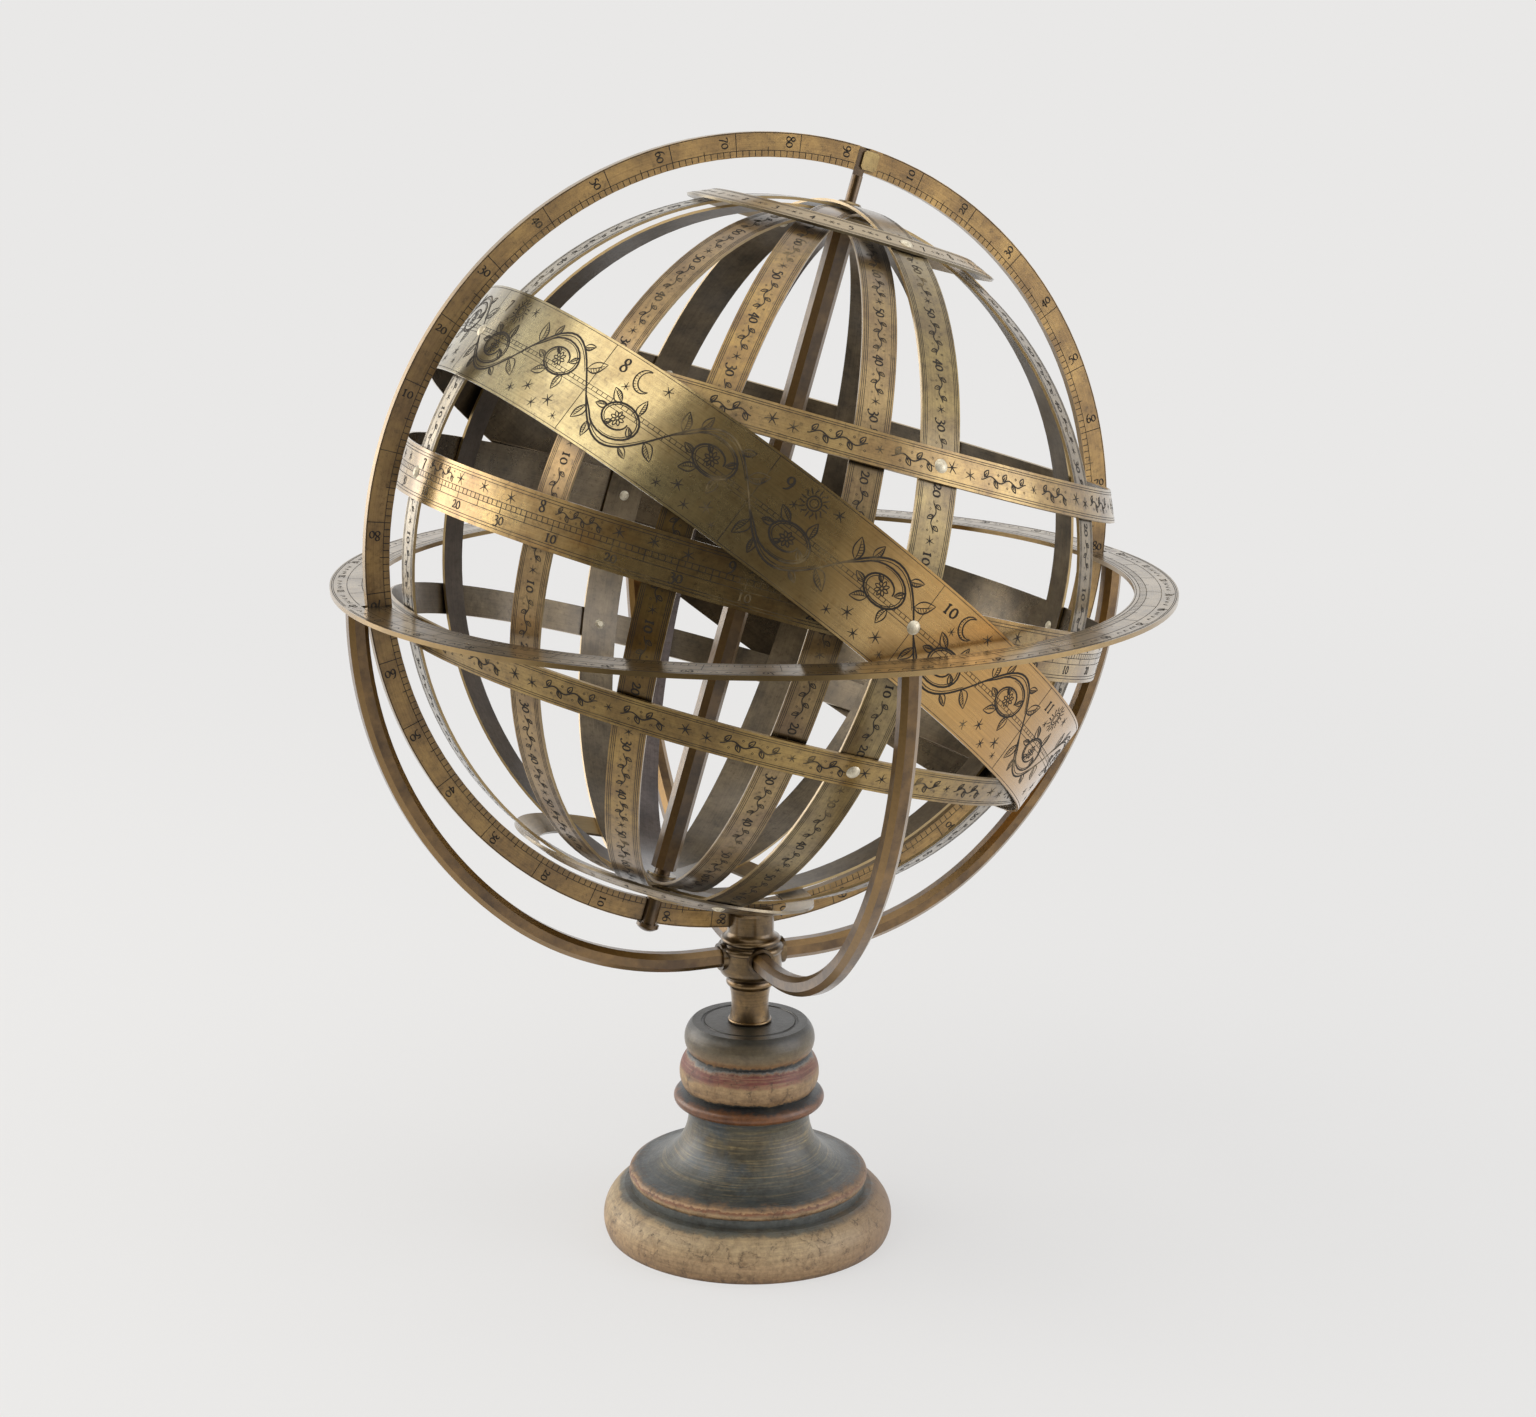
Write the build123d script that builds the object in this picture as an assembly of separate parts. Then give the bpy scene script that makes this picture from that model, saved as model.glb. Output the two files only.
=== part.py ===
import os
from math import asin, cos, radians, sin, sqrt

from build123d import *

# Table armillary sphere: a brass cage of the heavens that spins inside a meridian ring,
# carried by a four-armed cradle with a horizon ring on a turned, painted wooden foot.
# Millimetres. Origin: centre of the foot's underside. Z is up, the meridian ring stands
# in the XZ plane and the north pole leans towards +X.

# Foot, turned from one block of wood
foot_height = 59.2
foot_radius = 38.3
foot_swell = 0.8
foot_shoulder_radius = 33.6
foot_shoulder_height = 12.4
foot_groove_radius = 31.7
foot_groove_height = 2.4
step_radius = 32.3
step_height = 3.0
flare_radius = 20.6
neck_radius = 16.3
neck_drop = 5.0
sharp_ring_radius = 20.3
sharp_ring_drop = 7.4
bead_radius = 18.8
bead_drop = 10.0
crown_radius = 17.5
crown_drop = 3.8
crown_groove_radius = 12.6
moulding_edge = 0.5

# Stem and hub, turned brass
stem_length = 12.3
stem_foot_radius = 5.9
stem_waist_radius = 5.05
stem_collar_radius = 6.5
tang_radius = 3.0
tang_length = 24.0
tenon_radius = 2.5
tenon_length = 5.5
hub_radius = 8.9
hub_barrel_radius = 8.4
hub_bead_radius = 8.0
socket_rise = 6.7
socket_depth = 4.6
boss_wall = 0.8
boss_reach = 9.1
cheek_radius = 6.2
cheek_overlap = 4.2
meridian_rise = 7.8

# Meridian ring; its engraved face lies in the plane y = 0, which holds the polar axis
meridian_radius = 104.0
meridian_width = 6.25
meridian_thickness = 2.2
slide_gap = 0.15

# Horizon ring
horizon_below_centre = 10.4
horizon_overhang = 5.0
horizon_thickness = 1.2
notch_end_gap = 1.0

# Cradle arms
arm_thickness = 5.0
arm_chamfer = 1.3
arm_inset = 2.7
arm_blend = 50.0
arm_tenon_radius = 1.1
cross_arm_turn = -4.0

# Polar axis
axis_tilt = 16.4
rod_width = 6.0
rod_chamfer = 1.5
north_pin_radius = 1.45
south_pin_radius = 2.1
pin_head_radius = 3.0
pin_head_rim = 0.9
pin_head_dome = 1.3
end_play = 1.4
keeper_width = 4.4
keeper_height = 4.8
keeper_thickness = 0.6

# Cage of bands
cage_gap = 5.25
cage_drop = 3.4
band_width = 8.7
equinox_colure_width = 10.4
band_thickness = 0.7
band_lap_gap = 0.15
obliquity = 23.5
equator_width = 12.6
tropic_width = 8.4
polar_circle_width = 7.4
zodiac_width = 25.6
bush_wall = 0.8
bush_lip = 0.9
bush_lip_thickness = 0.5

# Hour circles in the order in which they are lapped at the poles, outermost first,
# each with the angle of its plane about the polar axis
hour_circles = {
    "equinox_colure": 90.0,
    "solstice_colure": 0.0,
    "hour_circle_1": 53.0,
    "hour_circle_2": 127.0,
    "hour_circle_3": 33.0,
    "hour_circle_4": 78.0,
}

# Rivets of the cage
rivet_radius = 0.8
rivet_head_radius = 1.7
rivet_head_height = 0.7
rivet_tail_radius = 1.4
rivet_tail_height = 0.45

# Clearances
seat_gap = 0.05
running_gap = 0.08

# Heights and radii that follow
crown_height = foot_height - crown_drop
bead_height = crown_height - bead_drop
sharp_ring_height = bead_height - sharp_ring_drop
neck_height = sharp_ring_height - neck_drop
stem_top = foot_height + stem_length
arm_height = stem_top + socket_rise
meridian_foot = arm_height + meridian_rise
centre_height = meridian_foot + meridian_radius
meridian_inner_radius = meridian_radius - meridian_width
horizon_height = centre_height - horizon_below_centre
horizon_radius = meridian_radius + horizon_overhang
shoulder_height = horizon_height - horizon_thickness / 2
arm_reach = horizon_radius - arm_inset
slot_radius = meridian_radius + 2 * slide_gap
slot_width = meridian_thickness + 2 * slide_gap
arm_corner = sqrt((arm_thickness / 2) ** 2 + (arm_thickness / 2 - arm_chamfer) ** 2)
socket_radius = arm_corner + running_gap
hole_radius = rivet_radius + seat_gap
cage_radius = meridian_inner_radius - cage_gap
flat_rise = (equinox_colure_width / 2) ** 2 / (2 * cage_radius)
parallel_seat = cage_radius + flat_rise + seat_gap
parallel_face = parallel_seat + band_thickness
zodiac_seat = sqrt(parallel_face ** 2 + (equator_width / 2) ** 2) + seat_gap
zodiac_face = zodiac_seat + band_thickness
lap_pitch = band_thickness + band_lap_gap
tail_seat = cage_radius - band_thickness - rivet_tail_radius ** 2 / cage_radius
stack_inner = cage_radius - (len(hour_circles) - 1) * lap_pitch - band_thickness
lip_top = stack_inner - 2 * seat_gap
lip_foot = lip_top - bush_lip_thickness

polar_frame = Pos(0, 0, centre_height) * Rot(0, axis_tilt, 0)
cage_frame = polar_frame * Pos(0, 0, -cage_drop)


def turned(outline):
    """A body of revolution about Z from a closed outline drawn in radius and height."""
    return revolve(Plane.XZ * make_face(outline), Axis.Z)


def dome(radius, foot, height):
    """The arc of a domed top, from its rim to the axis, centred on the axis."""
    ball = (radius ** 2 + height ** 2) / (2 * height)
    half = asin(radius / ball) / 2
    return ThreePointArc(
        (radius, foot), (ball * sin(half), foot + height - ball * (1 - cos(half))), (0, foot + height)
    )


def flat_ring(outer, inner, thickness):
    """A flat ring in the XY plane, centred on its thickness."""
    disc = Circle(outer) - Circle(inner)
    return extrude(disc, thickness / 2, both=True)


def bore(radius, depth):
    """A blind hole to cut downwards from Z = 0."""
    return Cylinder(radius, depth, align=(Align.CENTER, Align.CENTER, Align.MAX))


# Foot: a stack of turned mouldings with a bore for the stem's tang
def make_foot():
    edge = moulding_edge
    groove_top = foot_shoulder_height + foot_groove_height
    step_top = groove_top + step_height
    flare_height = step_top + 0.32237 * (neck_height - step_top)
    ring_low = sharp_ring_height - 3 * edge
    ring_high = sharp_ring_height + 3 * edge
    bead_low = ring_high + 2 * edge
    bead_high = 2 * bead_height - bead_low
    crown_low = bead_high + 2 * edge
    outline = Curve() + [
        Line((0, 0), (foot_radius, 0)),
        ThreePointArc(
            (foot_radius, 0),
            (foot_radius + foot_swell, 0.42 * foot_shoulder_height),
            (foot_shoulder_radius, foot_shoulder_height),
        ),
        Line((foot_shoulder_radius, foot_shoulder_height), (foot_groove_radius, foot_shoulder_height)),
        Line((foot_groove_radius, foot_shoulder_height), (foot_groove_radius, groove_top)),
        ThreePointArc(
            (foot_groove_radius, groove_top),
            (step_radius, groove_top + step_height / 2),
            (step_radius - 2 * edge, step_top),
        ),
        Line((step_radius - 2 * edge, step_top), (step_radius - 4 * edge, step_top + edge)),
        ThreePointArc(
            (step_radius - 4 * edge, step_top + edge),
            (flare_radius, flare_height),
            (neck_radius, neck_height),
        ),
        Line((neck_radius, neck_height), (neck_radius + edge, ring_low - 2 * edge)),
        Line((neck_radius + edge, ring_low - 2 * edge), (sharp_ring_radius - 2 * edge, ring_low)),
        ThreePointArc(
            (sharp_ring_radius - 2 * edge, ring_low),
            (sharp_ring_radius, sharp_ring_height),
            (sharp_ring_radius - 2 * edge, ring_high),
        ),
        Line((sharp_ring_radius - 2 * edge, ring_high), (bead_radius - 3 * edge, bead_low)),
        ThreePointArc(
            (bead_radius - 3 * edge, bead_low),
            (bead_radius, bead_height),
            (bead_radius - 4 * edge, bead_high),
        ),
        Line((bead_radius - 4 * edge, bead_high), (bead_radius - 5 * edge, bead_high + edge)),
        Line((bead_radius - 5 * edge, bead_high + edge), (crown_radius - 2 * edge, crown_low)),
        ThreePointArc(
            (crown_radius - 2 * edge, crown_low),
            (crown_radius, crown_height),
            (crown_radius - 4 * edge, foot_height),
        ),
        Line((crown_radius - 4 * edge, foot_height), (crown_groove_radius + edge, foot_height)),
        ThreePointArc(
            (crown_groove_radius + edge, foot_height),
            (crown_groove_radius, foot_height - edge),
            (crown_groove_radius - edge, foot_height),
        ),
        Line((crown_groove_radius - edge, foot_height), (0, foot_height)),
        Line((0, foot_height), (0, 0)),
    ]
    tang_hole = bore(tang_radius + seat_gap, tang_length + moulding_edge)
    return turned(outline) - Pos(0, 0, foot_height) * tang_hole


# Stem: a short baluster with a tang below and a socket above
def make_stem():
    foot = foot_height
    top = stem_top
    edge = moulding_edge
    outline = Curve() + [
        Line((0, foot - tang_length), (tang_radius - edge, foot - tang_length)),
        Line((tang_radius - edge, foot - tang_length), (tang_radius, foot - tang_length / 8)),
        Line((tang_radius, foot - tang_length / 8), (tang_radius, foot)),
        Line((tang_radius, foot), (stem_foot_radius - edge, foot)),
        ThreePointArc(
            (stem_foot_radius - edge, foot),
            (stem_foot_radius, foot + edge),
            (stem_foot_radius - edge, foot + 2 * edge),
        ),
        ThreePointArc(
            (stem_foot_radius - edge, foot + 2 * edge),
            (stem_waist_radius, foot + 0.54 * stem_length),
            (stem_waist_radius + edge, top - 5 * edge),
        ),
        Line((stem_waist_radius + edge, top - 5 * edge), (stem_collar_radius - edge, top - 4 * edge)),
        ThreePointArc(
            (stem_collar_radius - edge, top - 4 * edge),
            (stem_collar_radius, top - 2 * edge),
            (stem_collar_radius - edge, top),
        ),
        Line((stem_collar_radius - edge, top), (0, top)),
        Line((0, top), (0, foot - tang_length)),
    ]
    return turned(outline) - Pos(0, 0, top) * bore(tenon_radius + seat_gap, tenon_length + moulding_edge)


# Hub: a turned knot with four bossed arm sockets and a slotted head for the meridian ring
def make_hub():
    low = stem_top
    edge = moulding_edge
    head = meridian_foot + cheek_overlap
    barrel_low = low + 6 * edge
    barrel_top = arm_height + 2 * edge
    ring_top = barrel_top + 4 * edge
    bead_top = ring_top + 4 * edge
    outline = Curve() + [
        Line((0, low - tenon_length), (tenon_radius, low - tenon_length)),
        Line((tenon_radius, low - tenon_length), (tenon_radius, low)),
        Line((tenon_radius, low), (stem_collar_radius - edge, low)),
        Line((stem_collar_radius - edge, low), (stem_collar_radius, low + edge)),
        ThreePointArc(
            (stem_collar_radius, low + edge),
            (hub_barrel_radius - edge, low + 3 * edge),
            (hub_barrel_radius, barrel_low),
        ),
        Line((hub_barrel_radius, barrel_low), (hub_barrel_radius, barrel_top)),
        ThreePointArc(
            (hub_barrel_radius, barrel_top),
            (hub_radius, barrel_top + 2 * edge),
            (hub_barrel_radius - edge, ring_top),
        ),
        Line((hub_barrel_radius - edge, ring_top), (hub_bead_radius - edge, ring_top + edge)),
        ThreePointArc(
            (hub_bead_radius - edge, ring_top + edge),
            (hub_bead_radius, ring_top + 2.5 * edge),
            (hub_bead_radius - edge, bead_top),
        ),
        ThreePointArc(
            (hub_bead_radius - edge, bead_top),
            (cheek_radius + edge, bead_top + edge),
            (cheek_radius, bead_top + 3 * edge),
        ),
        Line((cheek_radius, bead_top + 3 * edge), (cheek_radius, head - edge)),
        Line((cheek_radius, head - edge), (cheek_radius - edge, head)),
        Line((cheek_radius - edge, head), (0, head)),
        Line((0, head), (0, low - tenon_length)),
    ]
    hub = turned(outline)
    reach = (Align.CENTER, Align.CENTER, Align.MIN)
    boss = Cylinder(socket_radius + boss_wall, boss_reach, align=reach)
    socket = Pos(0, 0, socket_depth) * Cylinder(socket_radius, boss_reach, align=reach)
    for angle in arm_angles.values():
        hub += Rot(0, 0, angle) * Pos(0, 0, arm_height) * Rot(0, 90, 0) * boss
    for angle in arm_angles.values():
        hub -= Rot(0, 0, angle) * Pos(0, 0, arm_height) * Rot(0, 90, 0) * socket
    slot = Cylinder(slot_radius, slot_width)
    slot_middle = meridian_thickness / 2
    return hub - Pos(0, slot_middle, centre_height) * Rot(90, 0, 0) * slot


# Cradle arm: a bevelled bar bent to a quarter circle, tenoned through the horizon ring
arm_angles = {
    "left": 180.0,
    "right": 0.0,
    "front": -90.0 + cross_arm_turn,
    "back": 90.0 + cross_arm_turn,
}


def make_arm(angle):
    blend = radians(arm_blend)
    drop = shoulder_height - arm_height
    small = (drop - arm_reach * sin(blend)) / (1 - sin(blend))
    shift = arm_reach - small
    elbow = (shift * cos(blend), shoulder_height - shift * sin(blend))
    path = Curve() + [
        Plane.XZ * CenterArc((0, shoulder_height), arm_reach, 0, -arm_blend),
        Plane.XZ * CenterArc(elbow, small, -arm_blend, arm_blend - 90),
        Plane.XZ * Line((elbow[0], arm_height), (socket_depth + seat_gap, arm_height)),
    ]
    section = Rectangle(arm_thickness, arm_thickness)
    section = chamfer(section.vertices(), arm_chamfer)
    start = Plane(origin=(arm_reach, 0, shoulder_height), x_dir=(0, 1, 0), z_dir=(0, 0, -1))
    bar = sweep(start * section, path)
    tenon = Cylinder(
        arm_tenon_radius, horizon_thickness, align=(Align.CENTER, Align.CENTER, Align.MIN)
    )
    return Rot(0, 0, angle) * (bar + Pos(arm_reach, 0, shoulder_height) * tenon)


# Horizon ring: two notches let the meridian ring through, four holes take the arms' tenons
def make_horizon():
    ring = flat_ring(horizon_radius, meridian_inner_radius, horizon_thickness)
    chord = sqrt(meridian_radius ** 2 - (horizon_below_centre - horizon_thickness / 2) ** 2)
    notch = Box(2 * (chord + notch_end_gap), slot_width, 2 * horizon_thickness)
    ring -= Pos(0, meridian_thickness / 2, 0) * notch
    hole = Pos(arm_reach, 0, 0) * Cylinder(arm_tenon_radius + seat_gap, 2 * horizon_thickness)
    for angle in arm_angles.values():
        ring -= Rot(0, 0, angle) * hole
    return Pos(0, 0, horizon_height) * ring


# Meridian ring: a flat ring with a groove at each pole for the pins of the polar axis
def make_meridian():
    ring = Plane.XZ * (Circle(meridian_radius) - Circle(meridian_inner_radius))
    ring = extrude(ring, -meridian_thickness)
    depth = north_pin_radius + seat_gap
    length = 3 * meridian_width
    north = Box(2 * north_pin_radius + 2 * seat_gap, 2 * depth, length)
    south = Box(2 * south_pin_radius + 2 * seat_gap, 2 * depth, length)
    ring -= Pos(0, 0, meridian_radius) * north
    ring -= Pos(0, 0, -meridian_radius) * south
    return polar_frame * ring


# Axis rod: a bevelled bar with a round pin at each end and a domed head at the south
def make_axis_rod():
    north_shoulder = lip_foot - cage_drop - seat_gap
    south_shoulder = -(lip_foot + cage_drop) + end_play
    section = Rectangle(rod_width, rod_width)
    section = chamfer(section.vertices(), rod_chamfer)
    bar = Pos(0, 0, south_shoulder) * extrude(section, north_shoulder - south_shoulder)
    north_end = meridian_radius - keeper_thickness
    north_length = north_end - north_shoulder
    north_pin = Pos(0, 0, north_shoulder + north_length / 2) * Cylinder(north_pin_radius, north_length)
    flat = 2 * (meridian_width + keeper_thickness)
    filed_front = Pos(0, -rod_width / 2, north_end) * Box(rod_width, rod_width, flat)
    head_foot = -meridian_radius - slide_gap
    south_length = south_shoulder - head_foot
    south_pin = Pos(0, 0, south_shoulder - south_length / 2) * Cylinder(south_pin_radius, south_length)
    filed_back = Pos(0, rod_width / 2 + north_pin_radius, head_foot) * Box(rod_width, rod_width, flat)
    head_outline = Curve() + [
        Line((0, 0), (pin_head_radius, 0)),
        Line((pin_head_radius, 0), (pin_head_radius, pin_head_rim)),
        dome(pin_head_radius, pin_head_rim, pin_head_dome),
        Line((0, pin_head_rim + pin_head_dome), (0, 0)),
    ]
    head = Pos(0, 0, head_foot) * Rot(180, 0, 0) * turned(head_outline)
    rod = bar + (north_pin - filed_front) + (south_pin - filed_back) + head
    return polar_frame * rod


# Keeper: a small plate soldered beside and over the north groove, which holds the pin down
def make_keeper():
    plate = Box(keeper_width, keeper_thickness, keeper_height)
    plate = chamfer(plate.edges().filter_by(Axis.Y), keeper_thickness)
    middle = meridian_radius - meridian_width / 2
    face = -keeper_thickness / 2 - seat_gap / 2
    return polar_frame * Pos(keeper_width / 2 - seat_gap, face, middle) * plate


# Rivet: domed head outside, flattened tail inside, drawn along +Z from the inner face
def make_rivet(grip):
    outline = Curve() + [
        Line((0, -rivet_tail_height), (rivet_radius, -rivet_tail_height)),
        Line((rivet_radius, -rivet_tail_height), (rivet_tail_radius, 0)),
        Line((rivet_tail_radius, 0), (rivet_radius, 0)),
        Line((rivet_radius, 0), (rivet_radius, grip)),
        Line((rivet_radius, grip), (rivet_head_radius, grip)),
        dome(rivet_head_radius, grip, rivet_head_height),
        Line((0, grip + rivet_head_height), (0, -rivet_tail_height)),
    ]
    return turned(outline)


def radial(spin, latitude, radius):
    """The place on the cage at a spin angle, latitude and radius, with Z pointing outwards."""
    return Rot(0, 0, spin) * Rot(0, 90 - latitude, 0) * Pos(0, 0, radius)


def drilled(piece, spots):
    """The piece with a rivet hole at each spot, a pair of spin angle and latitude."""
    drill = Cylinder(hole_radius, 2 * cage_gap)
    for spin, latitude in spots:
        piece -= radial(spin, latitude, cage_radius) * drill
    return piece


# Where the bands are riveted together, as spin angle and latitude
polar_latitude = 90 - obliquity
equinox_spots = [(90.0, 0.0), (-90.0, 0.0)]
summer_spot = (180.0, obliquity)
winter_spot = (0.0, -obliquity)
equator_spots = [(0.0, 0.0), (180.0, 0.0)]


def colure_spots(latitude):
    return [(90.0, latitude), (-90.0, latitude)]


# Hour circle: a strip bent to a ring, lower at the poles the deeper it is lapped
def make_hour_circle(name, width):
    order = list(hour_circles).index(name)
    polar_radius = cage_radius - order * lap_pitch
    outer = Ellipse(cage_radius, polar_radius)
    inner = Ellipse(cage_radius - band_thickness, polar_radius - band_thickness)
    ring = extrude(Plane.XZ * (outer - inner), width / 2, both=True)
    ring = Rot(0, 0, hour_circles[name]) * ring
    eyelet = running_gap + bush_wall + seat_gap
    ring -= Pos(0, 0, cage_radius) * Cylinder(north_pin_radius + eyelet, cage_radius / 2)
    ring -= Pos(0, 0, -cage_radius) * Cylinder(south_pin_radius + eyelet, cage_radius / 2)
    return ring


def make_equinox_colure():
    spots = list(equinox_spots)
    for latitude in (polar_latitude, obliquity, -obliquity, -polar_latitude):
        spots += colure_spots(latitude)
    return cage_frame * drilled(make_hour_circle("equinox_colure", equinox_colure_width), spots)


def make_solstice_colure():
    spots = [summer_spot, winter_spot] + equator_spots
    return cage_frame * drilled(make_hour_circle("solstice_colure", band_width), spots)


# Parallel: a strip bent to a cone that lies flat on the cage at its latitude, riveted to the
# equinox colure and at the other spots given
def make_parallel(latitude, width, spots):
    middle = parallel_seat + band_thickness / 2
    place = Pos(middle * cos(radians(latitude)), middle * sin(radians(latitude)))
    profile = place * Rectangle(band_thickness, width, rotation=latitude)
    return cage_frame * drilled(revolve(Plane.XZ * profile, Axis.Z), colure_spots(latitude) + spots)


# Zodiac: the broad outer band, leaning on the equator by the obliquity
def make_zodiac():
    ring = flat_ring(zodiac_face, zodiac_seat, zodiac_width)
    tilted = Rot(0, obliquity, 0) * ring
    return cage_frame * drilled(tilted, equinox_spots + [summer_spot, winter_spot])


# Polar bush: an eyelet through the lapped hour circles, in which the axis pin turns
def make_bush(pin_radius):
    bush_bore = pin_radius + running_gap
    wall = bush_bore + bush_wall
    lip = wall + bush_lip
    face = cage_radius + seat_gap
    outline = Curve() + [
        Line((bush_bore, lip_foot), (lip, lip_foot)),
        Line((lip, lip_foot), (lip, lip_top)),
        Line((lip, lip_top), (wall, lip_top)),
        Line((wall, lip_top), (wall, face)),
        Line((wall, face), (lip, face)),
        Line((lip, face), (wall + bush_lip / 2, face + bush_lip_thickness)),
        Line((wall + bush_lip / 2, face + bush_lip_thickness), (bush_bore, face + bush_lip_thickness)),
        Line((bush_bore, face + bush_lip_thickness), (bush_bore, lip_foot)),
    ]
    return turned(outline)


# Rivets, one group for each length
def make_parallel_rivets():
    rivet = make_rivet(parallel_face - tail_seat)
    spots = list(equator_spots)
    for latitude in (polar_latitude, obliquity, -obliquity, -polar_latitude):
        spots += colure_spots(latitude)
    return Compound(children=[cage_frame * radial(*spot, tail_seat) * rivet for spot in spots])


def make_zodiac_rivets():
    rivet = make_rivet(zodiac_face - tail_seat)
    rivets = [cage_frame * radial(*spot, tail_seat) * rivet for spot in equinox_spots]
    sunk = lap_pitch * sin(radians(obliquity)) ** 2 + 2 * seat_gap
    long_rivet = make_rivet(zodiac_face - tail_seat + sunk)
    for spot in (summer_spot, winter_spot):
        rivets.append(cage_frame * radial(*spot, tail_seat - sunk) * long_rivet)
    return Compound(children=rivets)


def build_nodes():
    nodes = {
        "wooden_foot": make_foot(),
        "stem": make_stem(),
        "hub": make_hub(),
        "horizon_ring": make_horizon(),
        "meridian_ring": make_meridian(),
        "axis_rod": make_axis_rod(),
        "north_pin_keeper": make_keeper(),
        "equinox_colure": make_equinox_colure(),
        "solstice_colure": make_solstice_colure(),
        "arctic_circle": make_parallel(polar_latitude, polar_circle_width, []),
        "tropic_of_cancer": make_parallel(obliquity, tropic_width, [summer_spot]),
        "equator_ring": make_parallel(0.0, equator_width, equator_spots),
        "tropic_of_capricorn": make_parallel(-obliquity, tropic_width, [winter_spot]),
        "antarctic_circle": make_parallel(-polar_latitude, polar_circle_width, []),
        "zodiac_band": make_zodiac(),
        "north_bush": cage_frame * make_bush(north_pin_radius),
        "south_bush": cage_frame * Rot(180, 0, 0) * make_bush(south_pin_radius),
        "parallel_rivets": make_parallel_rivets(),
        "zodiac_rivets": make_zodiac_rivets(),
    }
    for name in list(hour_circles)[2:]:
        nodes[name] = cage_frame * make_hour_circle(name, band_width)
    for name, angle in arm_angles.items():
        nodes[f"cradle_arm_{name}"] = make_arm(angle)
    return nodes


os.makedirs("parts", exist_ok=True)
for node_name, shape in build_nodes().items():
    export_step(shape, f"parts/{node_name}.step")
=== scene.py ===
import math
import random
from math import cos, pi, radians, sin

import bpy
from mathutils import Euler, Matrix, Vector


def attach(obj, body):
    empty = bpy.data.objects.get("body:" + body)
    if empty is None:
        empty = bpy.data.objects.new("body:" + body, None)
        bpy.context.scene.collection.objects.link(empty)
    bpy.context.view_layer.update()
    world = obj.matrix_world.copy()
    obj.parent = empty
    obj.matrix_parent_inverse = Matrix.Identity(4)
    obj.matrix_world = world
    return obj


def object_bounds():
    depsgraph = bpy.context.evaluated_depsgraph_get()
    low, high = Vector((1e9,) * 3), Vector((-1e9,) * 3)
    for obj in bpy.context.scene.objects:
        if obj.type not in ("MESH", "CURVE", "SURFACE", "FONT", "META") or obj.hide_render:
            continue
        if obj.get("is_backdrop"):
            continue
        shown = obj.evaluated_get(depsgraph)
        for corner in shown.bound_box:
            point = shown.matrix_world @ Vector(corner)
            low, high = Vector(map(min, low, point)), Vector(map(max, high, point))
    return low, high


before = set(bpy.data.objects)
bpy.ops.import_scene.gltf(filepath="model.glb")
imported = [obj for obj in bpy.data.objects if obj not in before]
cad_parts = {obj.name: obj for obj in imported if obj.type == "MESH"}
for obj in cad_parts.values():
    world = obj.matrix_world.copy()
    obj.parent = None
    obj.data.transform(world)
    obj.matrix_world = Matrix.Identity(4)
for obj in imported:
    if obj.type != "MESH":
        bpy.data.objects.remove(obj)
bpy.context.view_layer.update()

scene = bpy.context.scene
scene.view_settings.view_transform = "Standard"


# Camera. A long lens, 83 cm away, a little above the horizon ring and to the left of the
# meridian ring's face, looking slightly down.
camera_place = (-0.305511, -0.702635, 0.336624)
camera_turn, camera_dip, camera_roll = -23.789, 14.007, 0.7
lens = bpy.data.cameras.new("camera")
lens.sensor_width = 36
lens.lens = 70.72
lens.clip_start = 0.05
lens.clip_end = 20
camera = bpy.data.objects.new("camera", lens)
scene.collection.objects.link(camera)
camera.matrix_world = (
    Matrix.Translation(camera_place)
    @ Matrix.Rotation(radians(camera_turn), 4, "Z")
    @ Matrix.Rotation(radians(90 - camera_dip), 4, "X")
    @ Matrix.Rotation(radians(camera_roll), 4, "Z")
)
scene.camera = camera


# Studio: a pale sheet of paper under soft lamps left, right and overhead, in a room that is
# dark behind the lens. The paper shows its own pale grey to the lens and the metal, and near
# the object it keeps part of the shadow.
def linear(code):
    """Linear colour of an sRGB hex value."""
    parts = [int(code[i : i + 2], 16) / 255 for i in (1, 3, 5)]
    return [c / 12.92 if c <= 0.04045 else ((c + 0.055) / 1.055) ** 2.4 for c in parts] + [1.0]


def add(tree, kind, settings=None, links=None):
    """Adds a shader node, sets its inputs and properties and links its inputs."""
    made = tree.nodes.new("ShaderNode" + kind)
    for key, value in (settings or {}).items():
        if key == "stops":
            band = made.color_ramp.elements
            while len(band) < len(value):
                band.new(0.5)
            for element, (place, colour) in zip(band, value):
                element.position = place
                element.color = colour if not isinstance(colour, float) else (colour,) * 3 + (1,)
        elif isinstance(key, int) or key in made.inputs:
            made.inputs[key].default_value = value
        else:
            setattr(made, key, value)
    for key, source in (links or {}).items():
        tree.links.new(source.outputs[0] if hasattr(source, "outputs") else source, made.inputs[key])
    return made


def fresh(name):
    """A new material with an empty node tree, and that tree."""
    made = bpy.data.materials.new(name)
    made.use_nodes = True
    made.node_tree.nodes.clear()
    return made, made.node_tree


paper_grey = "#e9e8e7"
dark_side = (-0.6365, -0.7586, 0.139)
aim = (0, 0, 0.19)

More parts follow.
